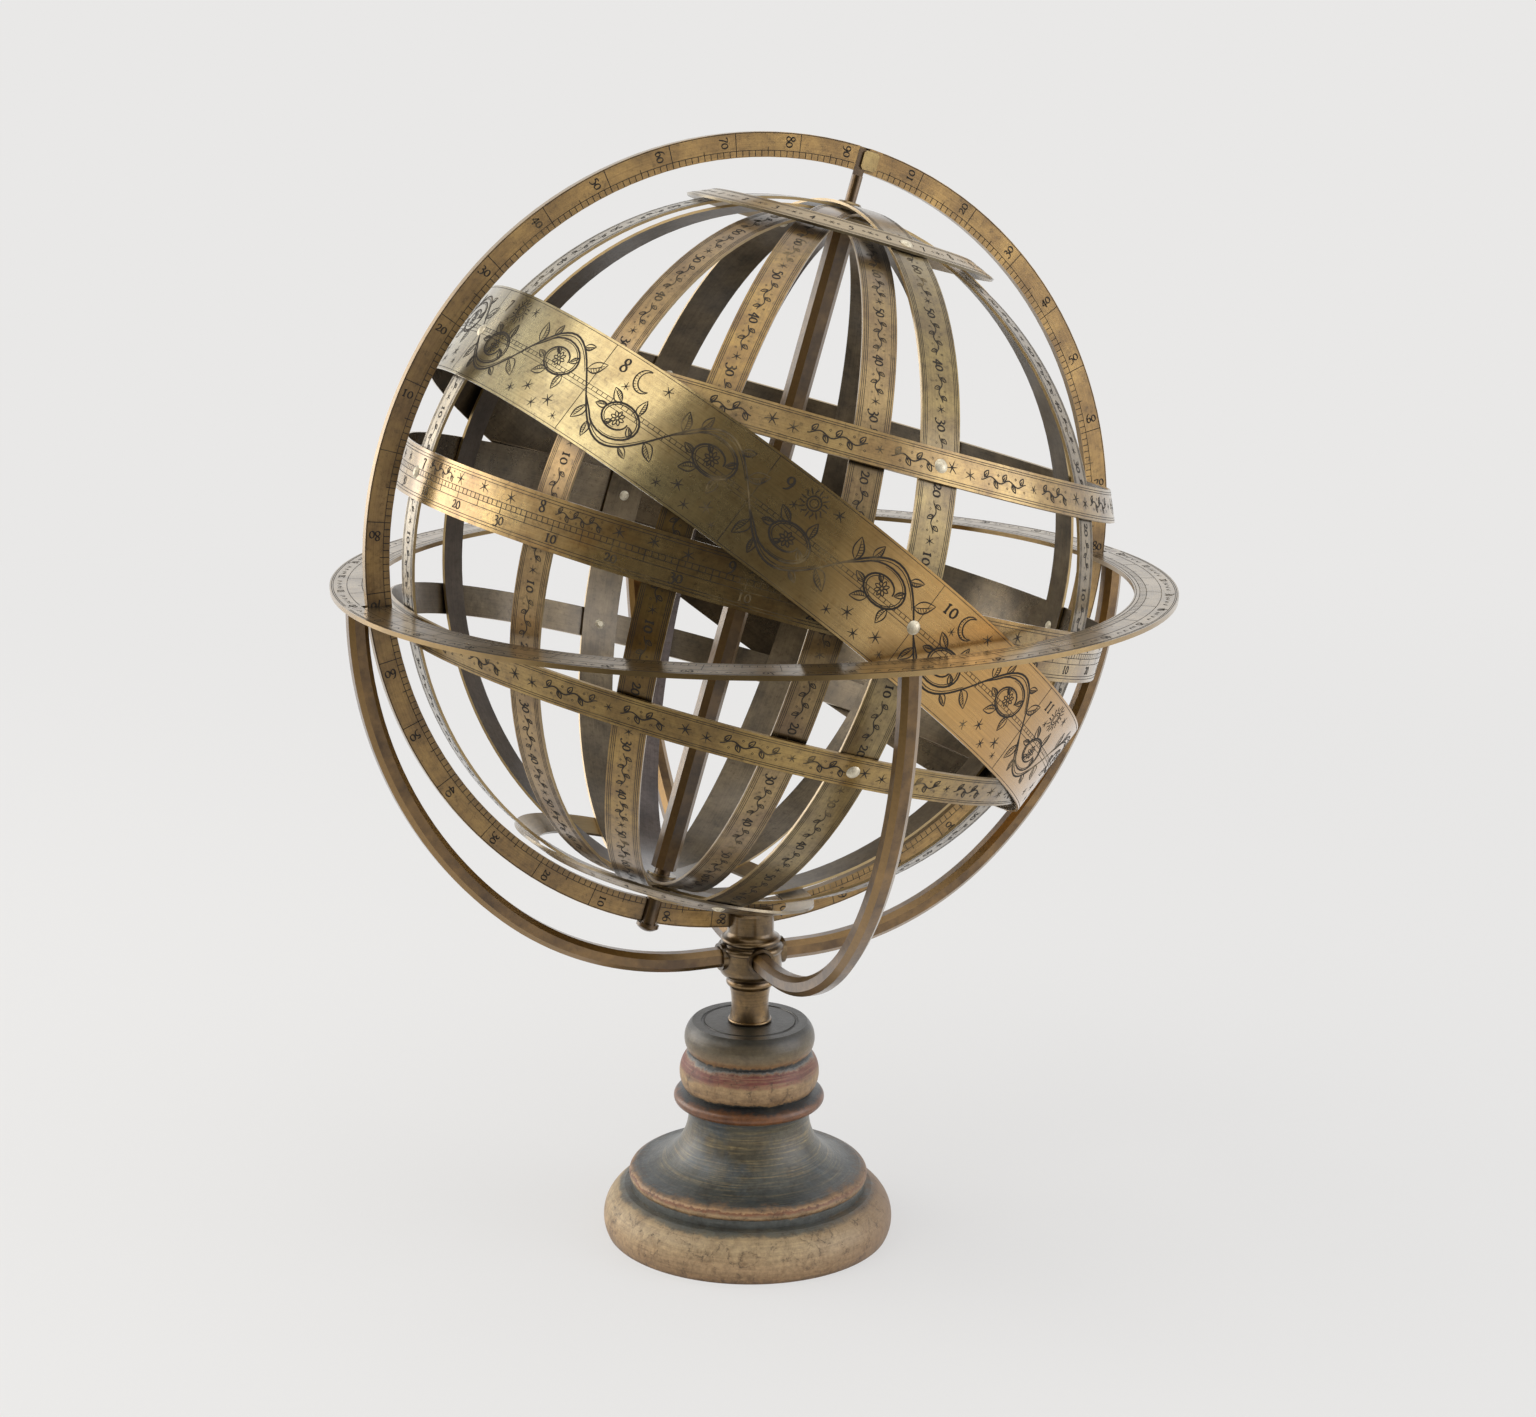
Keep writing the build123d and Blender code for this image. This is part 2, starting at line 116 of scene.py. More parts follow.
world = bpy.data.worlds.new("studio")
scene.world = world
world.use_nodes = True
sky = world.node_tree
sky.nodes.clear()
rays = add(sky, "LightPath")
whither = add(sky, "TexCoord")
toward = add(
    sky, "VectorMath", {"operation": "DOT_PRODUCT", 1: dark_side},
    {0: whither.outputs["Generated"]},
)
dim = add(
    sky,
    "MapRange",
    {
        "interpolation_type": "SMOOTHSTEP", "From Min": 0.45, "From Max": 0.84, "To Min": 0.86,
        "To Max": 0.07,
    },
    {"Value": toward.outputs["Value"]},
)
ambient = add(
    sky, "MixRGB", {"Color1": linear("#c2c3c5")},
    {"Fac": rays.outputs["Is Glossy Ray"], "Color2": dim},
)
seen = add(
    sky, "Math", {"operation": "MAXIMUM"},
    {0: rays.outputs["Is Camera Ray"], 1: rays.outputs["Is Transmission Ray"]},
)
shown = add(sky, "MixRGB", {"Color2": linear(paper_grey)}, {"Fac": seen, "Color1": ambient})
glow = add(sky, "Background", {"Strength": 1.0}, {"Color": shown})
add(sky, "OutputWorld", links={"Surface": glow})

floor_mesh = bpy.data.meshes.new("paper_floor")
half = 90.0
floor_mesh.from_pydata(
    [(-half, -half, 0), (half, -half, 0), (half, half, 0), (-half, half, 0)], [], [(0, 1, 2, 3)],
)
floor = bpy.data.objects.new("paper_floor", floor_mesh)
scene.collection.objects.link(floor)
paper, tree = fresh("matt_paper")
rays = add(tree, "LightPath")
spot = add(tree, "TexCoord")
flat = add(tree, "VectorMath", {"operation": "MULTIPLY", 1: (1, 1, 0)}, {0: spot.outputs["Object"]})
from_middle = add(tree, "VectorMath", {"operation": "SUBTRACT", 1: aim}, {0: flat})
from_middle = add(tree, "VectorMath", {"operation": "NORMALIZE"}, {0: from_middle})
ahead = add(tree, "VectorMath", {"operation": "DOT_PRODUCT", 1: dark_side}, {0: from_middle})
unlit = add(
    tree,
    "MapRange",
    {
        "interpolation_type": "SMOOTHSTEP", "From Min": 0.45, "From Max": 0.84, "To Min": 0.84,
        "To Max": 0.07,
    },
    {"Value": ahead.outputs["Value"]},
)
shade = add(
    tree, "MixRGB", {"Color1": linear(paper_grey)},
    {"Fac": rays.outputs["Is Glossy Ray"], "Color2": unlit},
)
seen = add(
    tree, "Math", {"operation": "MAXIMUM"},
    {0: rays.outputs["Is Camera Ray"], 1: rays.outputs["Is Glossy Ray"]},
)
seen = add(tree, "Math", {"operation": "MAXIMUM"}, {0: seen, 1: rays.outputs["Is Transmission Ray"]})
far = add(tree, "VectorMath", {"operation": "LENGTH"}, {0: flat})
plain = add(
    tree,
    "MapRange",
    {"interpolation_type": "SMOOTHSTEP", "From Min": 0.1, "From Max": 1.0, "To Min": 0.68, "To Max": 1.0},
    {"Value": far.outputs["Value"]},
)
share = add(tree, "Math", {"operation": "MULTIPLY"}, {0: plain, 1: seen})
own = add(tree, "Emission", {"Strength": 1.0}, {"Color": shade})
lit = add(tree, "BsdfDiffuse", {"Color": linear("#e6e6e5")})
both = add(tree, "MixShader", {}, {"Fac": share, 1: lit, 2: own})
add(tree, "OutputMaterial", links={"Surface": both})
floor_mesh.materials.append(paper)
floor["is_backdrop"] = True


def lamp(name, azimuth, elevation, distance, width, height, power, colour):
    """A soft box aimed at the middle of the sphere. Azimuth 0 is the side that faces -Y."""
    light = bpy.data.lights.new(name, "AREA")
    light.shape = "RECTANGLE"
    light.size, light.size_y = width, height
    light.energy = power
    light.color = linear(colour)[:3]
    made = bpy.data.objects.new(name, light)
    scene.collection.objects.link(made)
    a, e = radians(azimuth), radians(elevation)
    back = Vector((sin(a) * cos(e), -cos(a) * cos(e), sin(e)))
    made.rotation_mode = "QUATERNION"
    made.rotation_quaternion = (-back).to_track_quat("-Z", "Y")
    made.location = Vector(aim) + back * distance


lamp("soft_box_left", -93, 42, 1.3, 1.0, 1.0, 6.4, "#fffaf2")
lamp("soft_box_low_left", -134, 9, 1.2, 1.0, 0.8, 6.8, "#fffaf2")
lamp("soft_box_right", 54, 10, 1.3, 1.0, 1.2, 7.6, "#f6f8ff")
lamp("soft_box_over", 10, 80, 1.35, 1.4, 1.4, 4.5, "#fffdf8")


# Wooden foot: one turned block, coated with white chalk ground and painted by hand in blue,
# red and ochre on the lathe. The ground is worn, stained and finely cracked, and the paint
# is rubbed through along the turning lines.
def coordinates(tree, centre=(0, 0, 0), turn=None):
    """Place and normal in a piece's own frame, the place in millimetres."""
    here = add(tree, "TexCoord")
    angles = turn.to_euler("XYZ") if turn else Euler((0, 0, 0))
    place = add(
        tree,
        "Mapping",
        {
            "vector_type": "TEXTURE", "Location": centre, "Rotation": angles,
            "Scale": (0.001, 0.001, 0.001),
        },
        {"Vector": here.outputs["Object"]},
    )
    normal = add(
        tree, "Mapping", {"vector_type": "TEXTURE", "Rotation": angles},
        {"Vector": here.outputs["Normal"]},
    )
    return place, normal


foot_top = 59.2
painted_wood, tree = fresh("painted_gesso_on_wood")
place, _ = coordinates(tree)
blot = add(tree, "TexNoise", {"Scale": 1 / 9, "Detail": 5.0, "Roughness": 0.6}, {"Vector": place})
grit = add(tree, "TexNoise", {"Scale": 1 / 1.3, "Detail": 4.0, "Roughness": 0.7}, {"Vector": place})
plan = add(tree, "VectorMath", {"operation": "MULTIPLY", 1: (1, 1, 0)}, {0: place})
reach = add(tree, "VectorMath", {"operation": "LENGTH"}, {0: plan}).outputs["Value"]
reach = add(tree, "CombineXYZ", {}, {"Z": reach})
flat = add(tree, "VectorMath", {"operation": "MULTIPLY", 1: (0.05, 0.05, 1.0)}, {0: place})
turned = add(tree, "VectorMath", {"operation": "SUBTRACT"}, {0: flat, 1: reach})
lathe = add(tree, "TexNoise", {"Scale": 1.3, "Detail": 5.0, "Roughness": 0.7}, {"Vector": turned})

# Bands of colour by height, with a wavering edge.
parts = add(tree, "SeparateXYZ", links={"Vector": place})
waver = add(tree, "MapRange", {"To Min": -1.3, "To Max": 1.3}, {"Value": blot})
rough_edge = add(tree, "MapRange", {"To Min": -0.9, "To Max": 0.9}, {"Value": grit})
height = add(tree, "Math", {"operation": "ADD"}, {0: parts.outputs["Z"], 1: waver})
height = add(tree, "Math", {"operation": "ADD"}, {0: height, 1: rough_edge})
level = add(tree, "Math", {"operation": "DIVIDE", 1: foot_top}, {0: height})
coat_heights = (
    (0.0, "#755a3e"), (1.2, "#93744f"), (4.5, "#a88b66"), (9.0, "#b09872"), (11.2, "#a28b66"),
    (11.8, "#625c4c"), (12.6, "#4c4e49"), (14.7, "#52544f"), (15.1, "#8e6f4d"), (16.0, "#a88c68"),
    (16.9, "#7b4a2e"), (17.3, "#a5835c"), (17.9, "#6f5a45"), (18.3, "#3b3f3e"), (21.0, "#4c4d46"),
    (25.0, "#514d3f"), (30.0, "#5f5641"), (33.5, "#54503f"), (35.6, "#333432"), (36.4, "#6a3f1e"),
    (39.0, "#764a26"), (39.8, "#202224"), (41.0, "#34342f"), (41.5, "#92734f"), (46.0, "#a88a62"),
    (46.9, "#8e5f48"), (47.7, "#7c4234"), (49.5, "#774134"), (49.9, "#8c6c52"), (50.2, "#6e6c66"),
    (50.6, "#23282a"), (51.1, "#33342f"), (51.7, "#8d6841"), (53.0, "#75603f"), (55.5, "#5f533c"),
    (57.0, "#574c38"), (58.6, "#322f26"),
)
ring_foot = 36.0
lower = [(h / ring_foot, linear(c)) for h, c in coat_heights if h < ring_foot]
upper = [((h - ring_foot) / (foot_top - ring_foot), linear(c)) for h, c in coat_heights if h >= ring_foot]
below = add(tree, "Math", {"operation": "DIVIDE", 1: ring_foot}, {0: height})
lower = add(tree, "ValToRGB", {"stops": lower}, {"Fac": below})
above = add(tree, "MapRange", {"From Min": ring_foot, "From Max": foot_top}, {"Value": height})
upper = add(tree, "ValToRGB", {"stops": upper}, {"Fac": above})
over = add(tree, "Math", {"operation": "GREATER_THAN", 1: ring_foot}, {0: height})
coats = add(tree, "MixRGB", {}, {"Fac": over, "Color1": lower, "Color2": upper})

# Where the white ground shows, and where the blue coat was; the blue is rubbed and blotched.
pale = add(
    tree,
    "ValToRGB",
    {
        "stops": [(0.0, 1.0), (0.2, 1.0), (0.215, 0.0), (0.25, 0.0), (0.26, 1.0), (0.3, 1.0),
                  (0.315, 0.0), (0.69, 0.0), (0.7, 1.0), (0.835, 1.0), (0.85, 0.0), (0.875, 0.4),
                  (0.93, 0.0)]
    },
    {"Fac": level},
)
blue_zone = add(
    tree,
    "ValToRGB",
    {
        "stops": [(0.3, 0.0), (0.32, 0.4), (0.4, 0.9), (0.5, 1.0), (0.6, 0.8), (0.61, 0.0),
                  (0.77, 0.0), (0.78, 0.7), (0.83, 0.0)]
    },
    {"Fac": level},
)
rubbed = add(tree, "MapRange", {"From Min": 0.5, "From Max": 0.66}, {"Value": lathe})
rubbed = add(tree, "Math", {"operation": "MULTIPLY"}, {0: rubbed, 1: blue_zone})
rubbed = add(tree, "Math", {"operation": "MULTIPLY", 1: 0.85}, {0: rubbed})
coats = add(tree, "MixRGB", {"Color2": linear("#8d7a50")}, {"Fac": rubbed, "Color1": coats})
blued = add(tree, "MapRange", {"From Min": 0.5, "From Max": 0.66, "To Max": 0.65}, {"Value": blot})
blued = add(tree, "Math", {"operation": "MULTIPLY"}, {0: blued, 1: blue_zone})
coats = add(tree, "MixRGB", {"Color2": linear("#3a4a56")}, {"Fac": blued, "Color1": coats})

# Stains, streaks of the lathe, red paint worn along them, and dirt in specks.
stain = add(
    tree, "TexNoise", {"Scale": 1 / 5, "Detail": 8.0, "Roughness": 0.72, "Distortion": 0.8},
    {"Vector": place},
)
dirty = add(tree, "MapRange", {"From Min": 0.48, "From Max": 0.72, "To Max": 0.6}, {"Value": stain})
coats = add(
    tree, "MixRGB", {"blend_type": "MULTIPLY", "Color2": linear("#8a6a45")},
    {"Fac": dirty, "Color1": coats},
)
streak = add(
    tree, "MapRange", {"From Min": 0.3, "From Max": 0.7, "To Min": 0.78, "To Max": 1.2},
    {"Value": lathe},
)
coats = add(tree, "MixRGB", {"blend_type": "MULTIPLY", "Fac": 1.0}, {"Color1": coats, "Color2": streak})
red_zone = add(
    tree, "ValToRGB", {"stops": [(0.775, 0.0), (0.79, 1.0), (0.835, 1.0), (0.85, 0.0)]},
    {"Fac": level},
)
chipped = add(tree, "MapRange", {"From Min": 0.5, "From Max": 0.62, "To Max": 0.75}, {"Value": lathe})
chipped = add(tree, "Math", {"operation": "MULTIPLY"}, {0: chipped, 1: red_zone})
coats = add(tree, "MixRGB", {"Color2": linear("#8f7052")}, {"Fac": chipped, "Color1": coats})
fade = add(
    tree, "MapRange", {"From Min": 0.35, "From Max": 0.65, "To Min": 0.8, "To Max": 1.16},
    {"Value": grit},
)
coats = add(tree, "MixRGB", {"blend_type": "MULTIPLY", "Fac": 1.0}, {"Color1": coats, "Color2": fade})
specks = add(tree, "TexVoronoi", {"Scale": 1 / 1.5, "Randomness": 1.0}, {"Vector": place})
dots = add(
    tree, "MapRange", {"From Min": 0.15, "From Max": 0.24, "To Min": 0.85, "To Max": 0.0},
    {"Value": specks},
)
dots = add(tree, "Math", {"operation": "MULTIPLY"}, {0: dots, 1: dirty})
coats = add(tree, "MixRGB", {"Color2": linear("#4c3b2a")}, {"Fac": dots, "Color1": coats})

# Pores and fine upright cracks in the white ground, and the ground turning browner towards its right,
# along X.
sway = add(tree, "VectorMath", {"operation": "SCALE", "Scale": 3.4}, {0: grit.outputs["Color"]})
bent = add(tree, "VectorMath", {"operation": "ADD"}, {0: place, 1: sway})
upright = add(tree, "VectorMath", {"operation": "MULTIPLY", 1: (1.0, 1.0, 0.4)}, {0: bent})
pores = add(tree, "TexNoise", {"Scale": 2.2, "Detail": 3.0, "Roughness": 0.6}, {"Vector": upright})
pore = add(tree, "MapRange", {"From Min": 0.58, "From Max": 0.7, "To Max": 0.3}, {"Value": pores})
pore = add(tree, "Math", {"operation": "MULTIPLY"}, {0: pore, 1: pale})
coats = add(tree, "MixRGB", {"Color2": linear("#6b5135")}, {"Fac": pore, "Color1": coats})
browner_to_right = add(
    tree, "MapRange", {"From Min": 4.0, "From Max": 34.0, "To Max": 0.85},
    {"Value": parts.outputs["X"]},
)
browner_to_right = add(tree, "Math", {"operation": "MULTIPLY"}, {0: browner_to_right, 1: pale})
coats = add(tree, "MixRGB", {"Color2": linear("#7d6044")}, {"Fac": browner_to_right, "Color1": coats})
crackle = add(tree, "TexVoronoi", {"feature": "DISTANCE_TO_EDGE", "Scale": 1 / 4.2}, {"Vector": upright})
crack = add(
    tree, "MapRange", {"From Min": 0.004, "From Max": 0.03, "To Min": 0.85, "To Max": 0.0},
    {"Value": crackle},
)
broken = add(tree, "MapRange", {"From Min": 0.44, "From Max": 0.6}, {"Value": stain})
crack = add(tree, "Math", {"operation": "MULTIPLY"}, {0: crack, 1: broken})
crack = add(tree, "Math", {"operation": "MULTIPLY"}, {0: crack, 1: pale})
coats = add(tree, "MixRGB", {"Color2": linear("#3d2f22")}, {"Fac": crack, "Color1": coats})

# The blue coat has kept a soft shine; the bare ground is matt.
sheen = add(tree, "MapRange", {"To Min": 0.35, "To Max": 0.6}, {"Value": pale})
uneven = add(tree, "MapRange", {"To Min": -0.12, "To Max": 0.12}, {"Value": stain})
sheen = add(tree, "Math", {"operation": "ADD"}, {0: sheen, 1: uneven})
relief = add(tree, "Math", {"operation": "SUBTRACT"}, {0: grit, 1: crack})
relief = add(tree, "Math", {"operation": "ADD"}, {0: relief, 1: lathe})
bump = add(tree, "Bump", {"Strength": 0.5, "Distance": 0.0002}, {"Height": relief})
skin = add(
    tree,
    "BsdfPrincipled",
    {"IOR": 1.5, "Coat Weight": 0.3, "Coat Roughness": 0.35},
    {"Base Color": coats, "Roughness": sheen, "Normal": bump},
)
add(tree, "OutputMaterial", links={"Surface": skin})


def finish_node(name, material):
    """Gives a solid of the frame its finish."""
    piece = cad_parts[name]
    if not piece.material_slots:
        piece.data.materials.append(material)
    for place in piece.material_slots:
        place.material = material


finish_node("wooden_foot", painted_wood)


# Stem and hub: cast brass, turned on the lathe and left to darken. Wear has kept the beads golden,
# and the coves and the ground round the arm sockets are darkened brown where they are closed in:
# painted shade, which also stands for old polish and dirt.
def tarnished(tree, place, clean, brown, size):
    """Cloudy tarnish from clean brass to brown, with clouds of that size in millimetres."""
    cloud = add(tree, "TexNoise", {"Scale": 1 / size, "Detail": 6.0, "Roughness": 0.6}, {"Vector": place})
    share = add(tree, "MapRange", {"From Min": 0.36, "From Max": 0.66}, {"Value": cloud})
    tone = add(tree, "MixRGB", {"Color1": linear(clean), "Color2": linear(brown)}, {"Fac": share})
    spot = add(tree, "TexNoise", {"Scale": 1 / 1.6, "Detail": 6.0, "Roughness": 0.78}, {"Vector": place})
    spotted = add(tree, "MapRange", {"From Min": 0.55, "From Max": 0.72, "To Max": 0.6}, {"Value": spot})
    tone = add(tree, "MixRGB", {"Color2": linear("#4a3822")}, {"Fac": spotted, "Color1": tone})
    fleck = add(
        tree, "MapRange", {"From Min": 0.3, "From Max": 0.7, "To Min": 1.22, "To Max": 0.82},
        {"Value": spot},
    )
    tone = add(tree, "MixRGB", {"blend_type": "MULTIPLY", "Fac": 1.0}, {"Color1": tone, "Color2": fleck})
    return tone, cloud


def brass_skin(tree, tone, roughness, bump):
    """The metal shader that every brass finish ends in, under a thin coat of old wax, which
    turns it paler where it is seen at a slant."""
    metal = add(
        tree,
        "BsdfPrincipled",
        {"Metallic": 0.92, "Coat Weight": 1.0, "Coat Roughness": 0.22, "Coat IOR": 1.5},
        {"Base Color": tone, "Roughness": roughness, "Normal": bump},
    )
    add(tree, "OutputMaterial", links={"Surface": metal})


def turned_brass(name, clean, brown):
    """Brass with fine turning lines, 0.4 mm apart, and its coves darkened by painted shade that also
    stands for dirt.
    """
    made, tree = fresh(name)
    place, _ = coordinates(tree)
    tone, cloud = tarnished(tree, place, clean, brown, 7.0)
    # Painted shade: darkens the tone to dark brown where ambient occlusion finds the metal closed in,
    # within 5 mm; it also stands for dirt.
    crevice = add(tree, "AmbientOcclusion", {"samples": 6, "Distance": 0.005})
    grime_and_painted_shade = add(
        tree, "MapRange", {"From Min": 0.45, "From Max": 0.95, "To Min": 0.85, "To Max": 0.0},
        {"Value": crevice.outputs["AO"]},
    )
    tone = add(tree, "MixRGB", {"Color2": linear("#2a2117")}, {"Fac": grime_and_painted_shade, "Color1": tone})
    rings = add(tree, "VectorMath", {"operation": "MULTIPLY", 1: (0.08, 0.08, 2.6)}, {0: place})
    lathe = add(tree, "TexNoise", {"Scale": 1.0, "Detail": 4.0}, {"Vector": rings})
    line = add(
        tree, "MapRange", {"From Min": 0.3, "From Max": 0.7, "To Min": 0.85, "To Max": 1.12},
        {"Value": lathe},
    )
    tone = add(tree, "MixRGB", {"blend_type": "MULTIPLY", "Fac": 1.0}, {"Color1": tone, "Color2": line})
    rough = add(tree, "MapRange", {"To Min": 0.24, "To Max": 0.46}, {"Value": cloud})
    bump = add(tree, "Bump", {"Strength": 0.35, "Distance": 0.0001}, {"Height": lathe})
    brass_skin(tree, tone, rough, bump)
    return made


finish_node("stem", turned_brass("turned_brass_stem", "#967541", "#5f4625"))
finish_node("hub", turned_brass("turned_brass_hub", "#84683c", "#4c3a20"))


# Cradle arms: square brass bar with filed bevels, bent cold to a quarter circle. The flats
# are dark with handling, and the bevels are golden: rubbed by wear, and also a painted highlight.
def bar_brass(name, turn, centre, clean, brown, bevel):
    """Filed brass bar, with bevels of a lighter tone than its flats, which stands for wear and also for a
    painted highlight.
    """
    made, tree = fresh(name)
    place, normal = coordinates(tree, centre, turn)
    tone, cloud = tarnished(tree, place, clean, brown, 9.0)
    sides = add(tree, "SeparateXYZ", links={"Vector": normal})
    side = add(tree, "Math", {"operation": "ABSOLUTE"}, {0: sides.outputs["Y"]})
    off = add(tree, "Math", {"operation": "SUBTRACT", 1: 0.707}, {0: side})
    off = add(tree, "Math", {"operation": "ABSOLUTE"}, {0: off})
    # Painted highlight, partly wear: the bevels are mixed towards the lighter bevel tone.
    edge = add(
        tree, "MapRange", {"From Min": 0.06, "From Max": 0.24, "To Min": 0.6, "To Max": 0.0},
        {"Value": off},
    )
    worn = add(tree, "MapRange", {"From Min": 0.4, "From Max": 0.6, "To Min": 0.7}, {"Value": cloud})
    edge = add(tree, "Math", {"operation": "MULTIPLY"}, {0: edge, 1: worn})
    tone = add(tree, "MixRGB", {"Color2": linear(bevel)}, {"Fac": edge, "Color1": tone})
    grain = add(tree, "TexNoise", {"Scale": 1 / 0.8, "Detail": 5.0, "Roughness": 0.7}, {"Vector": place})
    line = add(
        tree, "MapRange", {"From Min": 0.3, "From Max": 0.7, "To Min": 0.84, "To Max": 1.12},
        {"Value": grain},
    )
    tone = add(tree, "MixRGB", {"blend_type": "MULTIPLY", "Fac": 1.0}, {"Color1": tone, "Color2": line})
    rough = add(tree, "MapRange", {"To Min": 0.28, "To Max": 0.5}, {"Value": cloud})
    bump = add(tree, "Bump", {"Strength": 0.4, "Distance": 0.0001}, {"Height": grain})
    brass_skin(tree, tone, rough, bump)
    return made


for side_name, angle in (("left", 180), ("right", 0), ("front", -94), ("back", 86)):
    arm_turn = Matrix.Rotation(radians(angle), 3, "Z")
    arm_finish = bar_brass(
        f"filed_bar_brass_{side_name}", arm_turn, (0, 0, 0), "#87673a", "#5a4225", "#9f7a3a",
    )
    finish_node(f"cradle_arm_{side_name}", arm_finish)


# Horizon ring: hammered sheet brass, cut and scraped flat, with two notches in which the
# meridian ring stands. Its top is divided into degrees and numbered.
middle = (0, 0, 0.190)
upright_ring = Matrix.Rotation(radians(90), 3, "X")


def sheet_brass(name, centre, turn, flat, face, back, rim, seed, shine=0.34):
    """Scraped sheet brass of a ring whose own axis is Z in its frame: face is the clean and the
    tarnished colour of the engraved side, and a third, where given, a golden-brown painted
    reflection laid over the ring's right-hand part, by the scene's X; back the colours of the
    bare side, and rim that of the cut edge, which stands for wear and, where it is lighter than
    the face, also for a painted highlight. Scratches run along the ring, drawn 0.4 mm apart
    because the real ones are too fine to show."""
    made, tree = fresh(name)
    place, normal = coordinates(tree, centre, turn)
    moved = add(
        tree, "VectorMath", {"operation": "ADD", 1: (seed * 37.0, seed * 11.0, seed * 5.0)},
        {0: place},
    )
    level = add(tree, "VectorMath", {"operation": "MULTIPLY", 1: (1, 1, 0)}, {0: place})
    reach = add(tree, "VectorMath", {"operation": "LENGTH"}, {0: level})
    outward = add(tree, "VectorMath", {"operation": "NORMALIZE"}, {0: level})
    out = add(tree, "VectorMath", {"operation": "DOT_PRODUCT"}, {0: outward, 1: normal}).outputs["Value"]
    along = add(tree, "SeparateXYZ", links={"Vector": normal}).outputs["Z"]
    own = add(tree, "SeparateXYZ", links={"Vector": place})
    across = reach.outputs["Value"] if flat else own.outputs["Z"]
    faced, edged = (along, out) if flat else (out, along)
    tone, cloud = tarnished(tree, moved, *face[:2], 11.0)
    # Painted reflection: the third tone is laid over the ring's right-hand part, by the scene's X, for
    # the golden brown that reflection gives it there.
    if len(face) == 3:
        here = add(tree, "TexCoord").outputs["Object"]
        painted_reflection_side = add(tree, "SeparateXYZ", links={"Vector": here})
        painted_reflection_side = add(
            tree, "MapRange", {"From Min": -0.065, "From Max": 0.02, "To Max": 0.85},
            {"Value": painted_reflection_side.outputs["X"]},
        )
        tone = add(tree, "MixRGB", {"Color2": linear(face[2])}, {"Fac": painted_reflection_side, "Color1": tone})
    hind, _ = tarnished(tree, moved, *back, 9.0)
    front = add(tree, "MapRange", {"From Min": -0.4, "From Max": 0.3}, {"Value": faced})
    tone = add(tree, "MixRGB", {}, {"Fac": front, "Color1": hind, "Color2": tone})
    # Painted shade: the tone darkens to dark brown where ambient occlusion finds other bands, rivets or
    # pins close by, within 7 mm, as where bands cross; it also stands for grime.
    crevice = add(tree, "AmbientOcclusion", {"samples": 4, "Distance": 0.007})
    grime_and_painted_shade = add(
        tree, "MapRange", {"From Min": 0.35, "From Max": 0.95, "To Min": 0.8, "To Max": 0.0},
        {"Value": crevice.outputs["AO"]},
    )
    tone = add(tree, "MixRGB", {"Color2": linear("#33281b")}, {"Fac": grime_and_painted_shade, "Color1": tone})
    # The rims are mixed towards the rim colour: it stands for wear and, where lighter than the face, also
    # for a painted highlight along the edge.
    rim_wear_and_highlight = add(tree, "Math", {"operation": "ABSOLUTE"}, {0: edged})
    rim_wear_and_highlight = add(tree, "MapRange", {"From Min": 0.6, "From Max": 0.9, "To Max": 0.8}, {"Value": rim_wear_and_highlight})
    tone = add(tree, "MixRGB", {"Color2": linear(rim)}, {"Fac": rim_wear_and_highlight, "Color1": tone})
    slow = add(tree, "VectorMath", {"operation": "MULTIPLY", 1: (0.04, 0.04, 0)}, {0: moved})
    fast = add(tree, "CombineXYZ", {}, {"Z": across})
    fast = add(tree, "VectorMath", {"operation": "MULTIPLY", 1: (0, 0, 2.4)}, {0: fast})
    line = add(tree, "VectorMath", {"operation": "ADD"}, {0: slow, 1: fast})
    scratch = add(tree, "TexNoise", {"Scale": 1.0, "Detail": 4.0, "Roughness": 0.7}, {"Vector": line})
    mark = add(
        tree, "MapRange", {"From Min": 0.3, "From Max": 0.7, "To Min": 0.82, "To Max": 1.14},
        {"Value": scratch},
    )
    tone = add(tree, "MixRGB", {"blend_type": "MULTIPLY", "Fac": 1.0}, {"Color1": tone, "Color2": mark})
    rough = add(tree, "MapRange", {"To Min": shine - 0.08, "To Max": shine + 0.14}, {"Value": cloud})
    swell = add(tree, "TexNoise", {"Scale": 1 / 16, "Detail": 1.0}, {"Vector": moved})
    hammered = add(tree, "Bump", {"Strength": 0.25, "Distance": 0.002}, {"Height": swell})
    bump = add(
        tree, "Bump", {"Strength": 0.22, "Distance": 0.00008},
        {"Height": scratch, "Normal": hammered},
    )
    brass_skin(tree, tone, rough, bump)
    return made


gold = ("#b3955a", "#86693c")
olive = ("#736349", "#504431")
horizon_centre = (0, 0, 0.1796)
horizon_finish = sheet_brass(
    "scraped_sheet_horizon", horizon_centre, None, True,
    ("#a1885a", "#7d6740"), gold, "#a98a55", 1, 0.27,
)
finish_node("horizon_ring", horizon_finish)


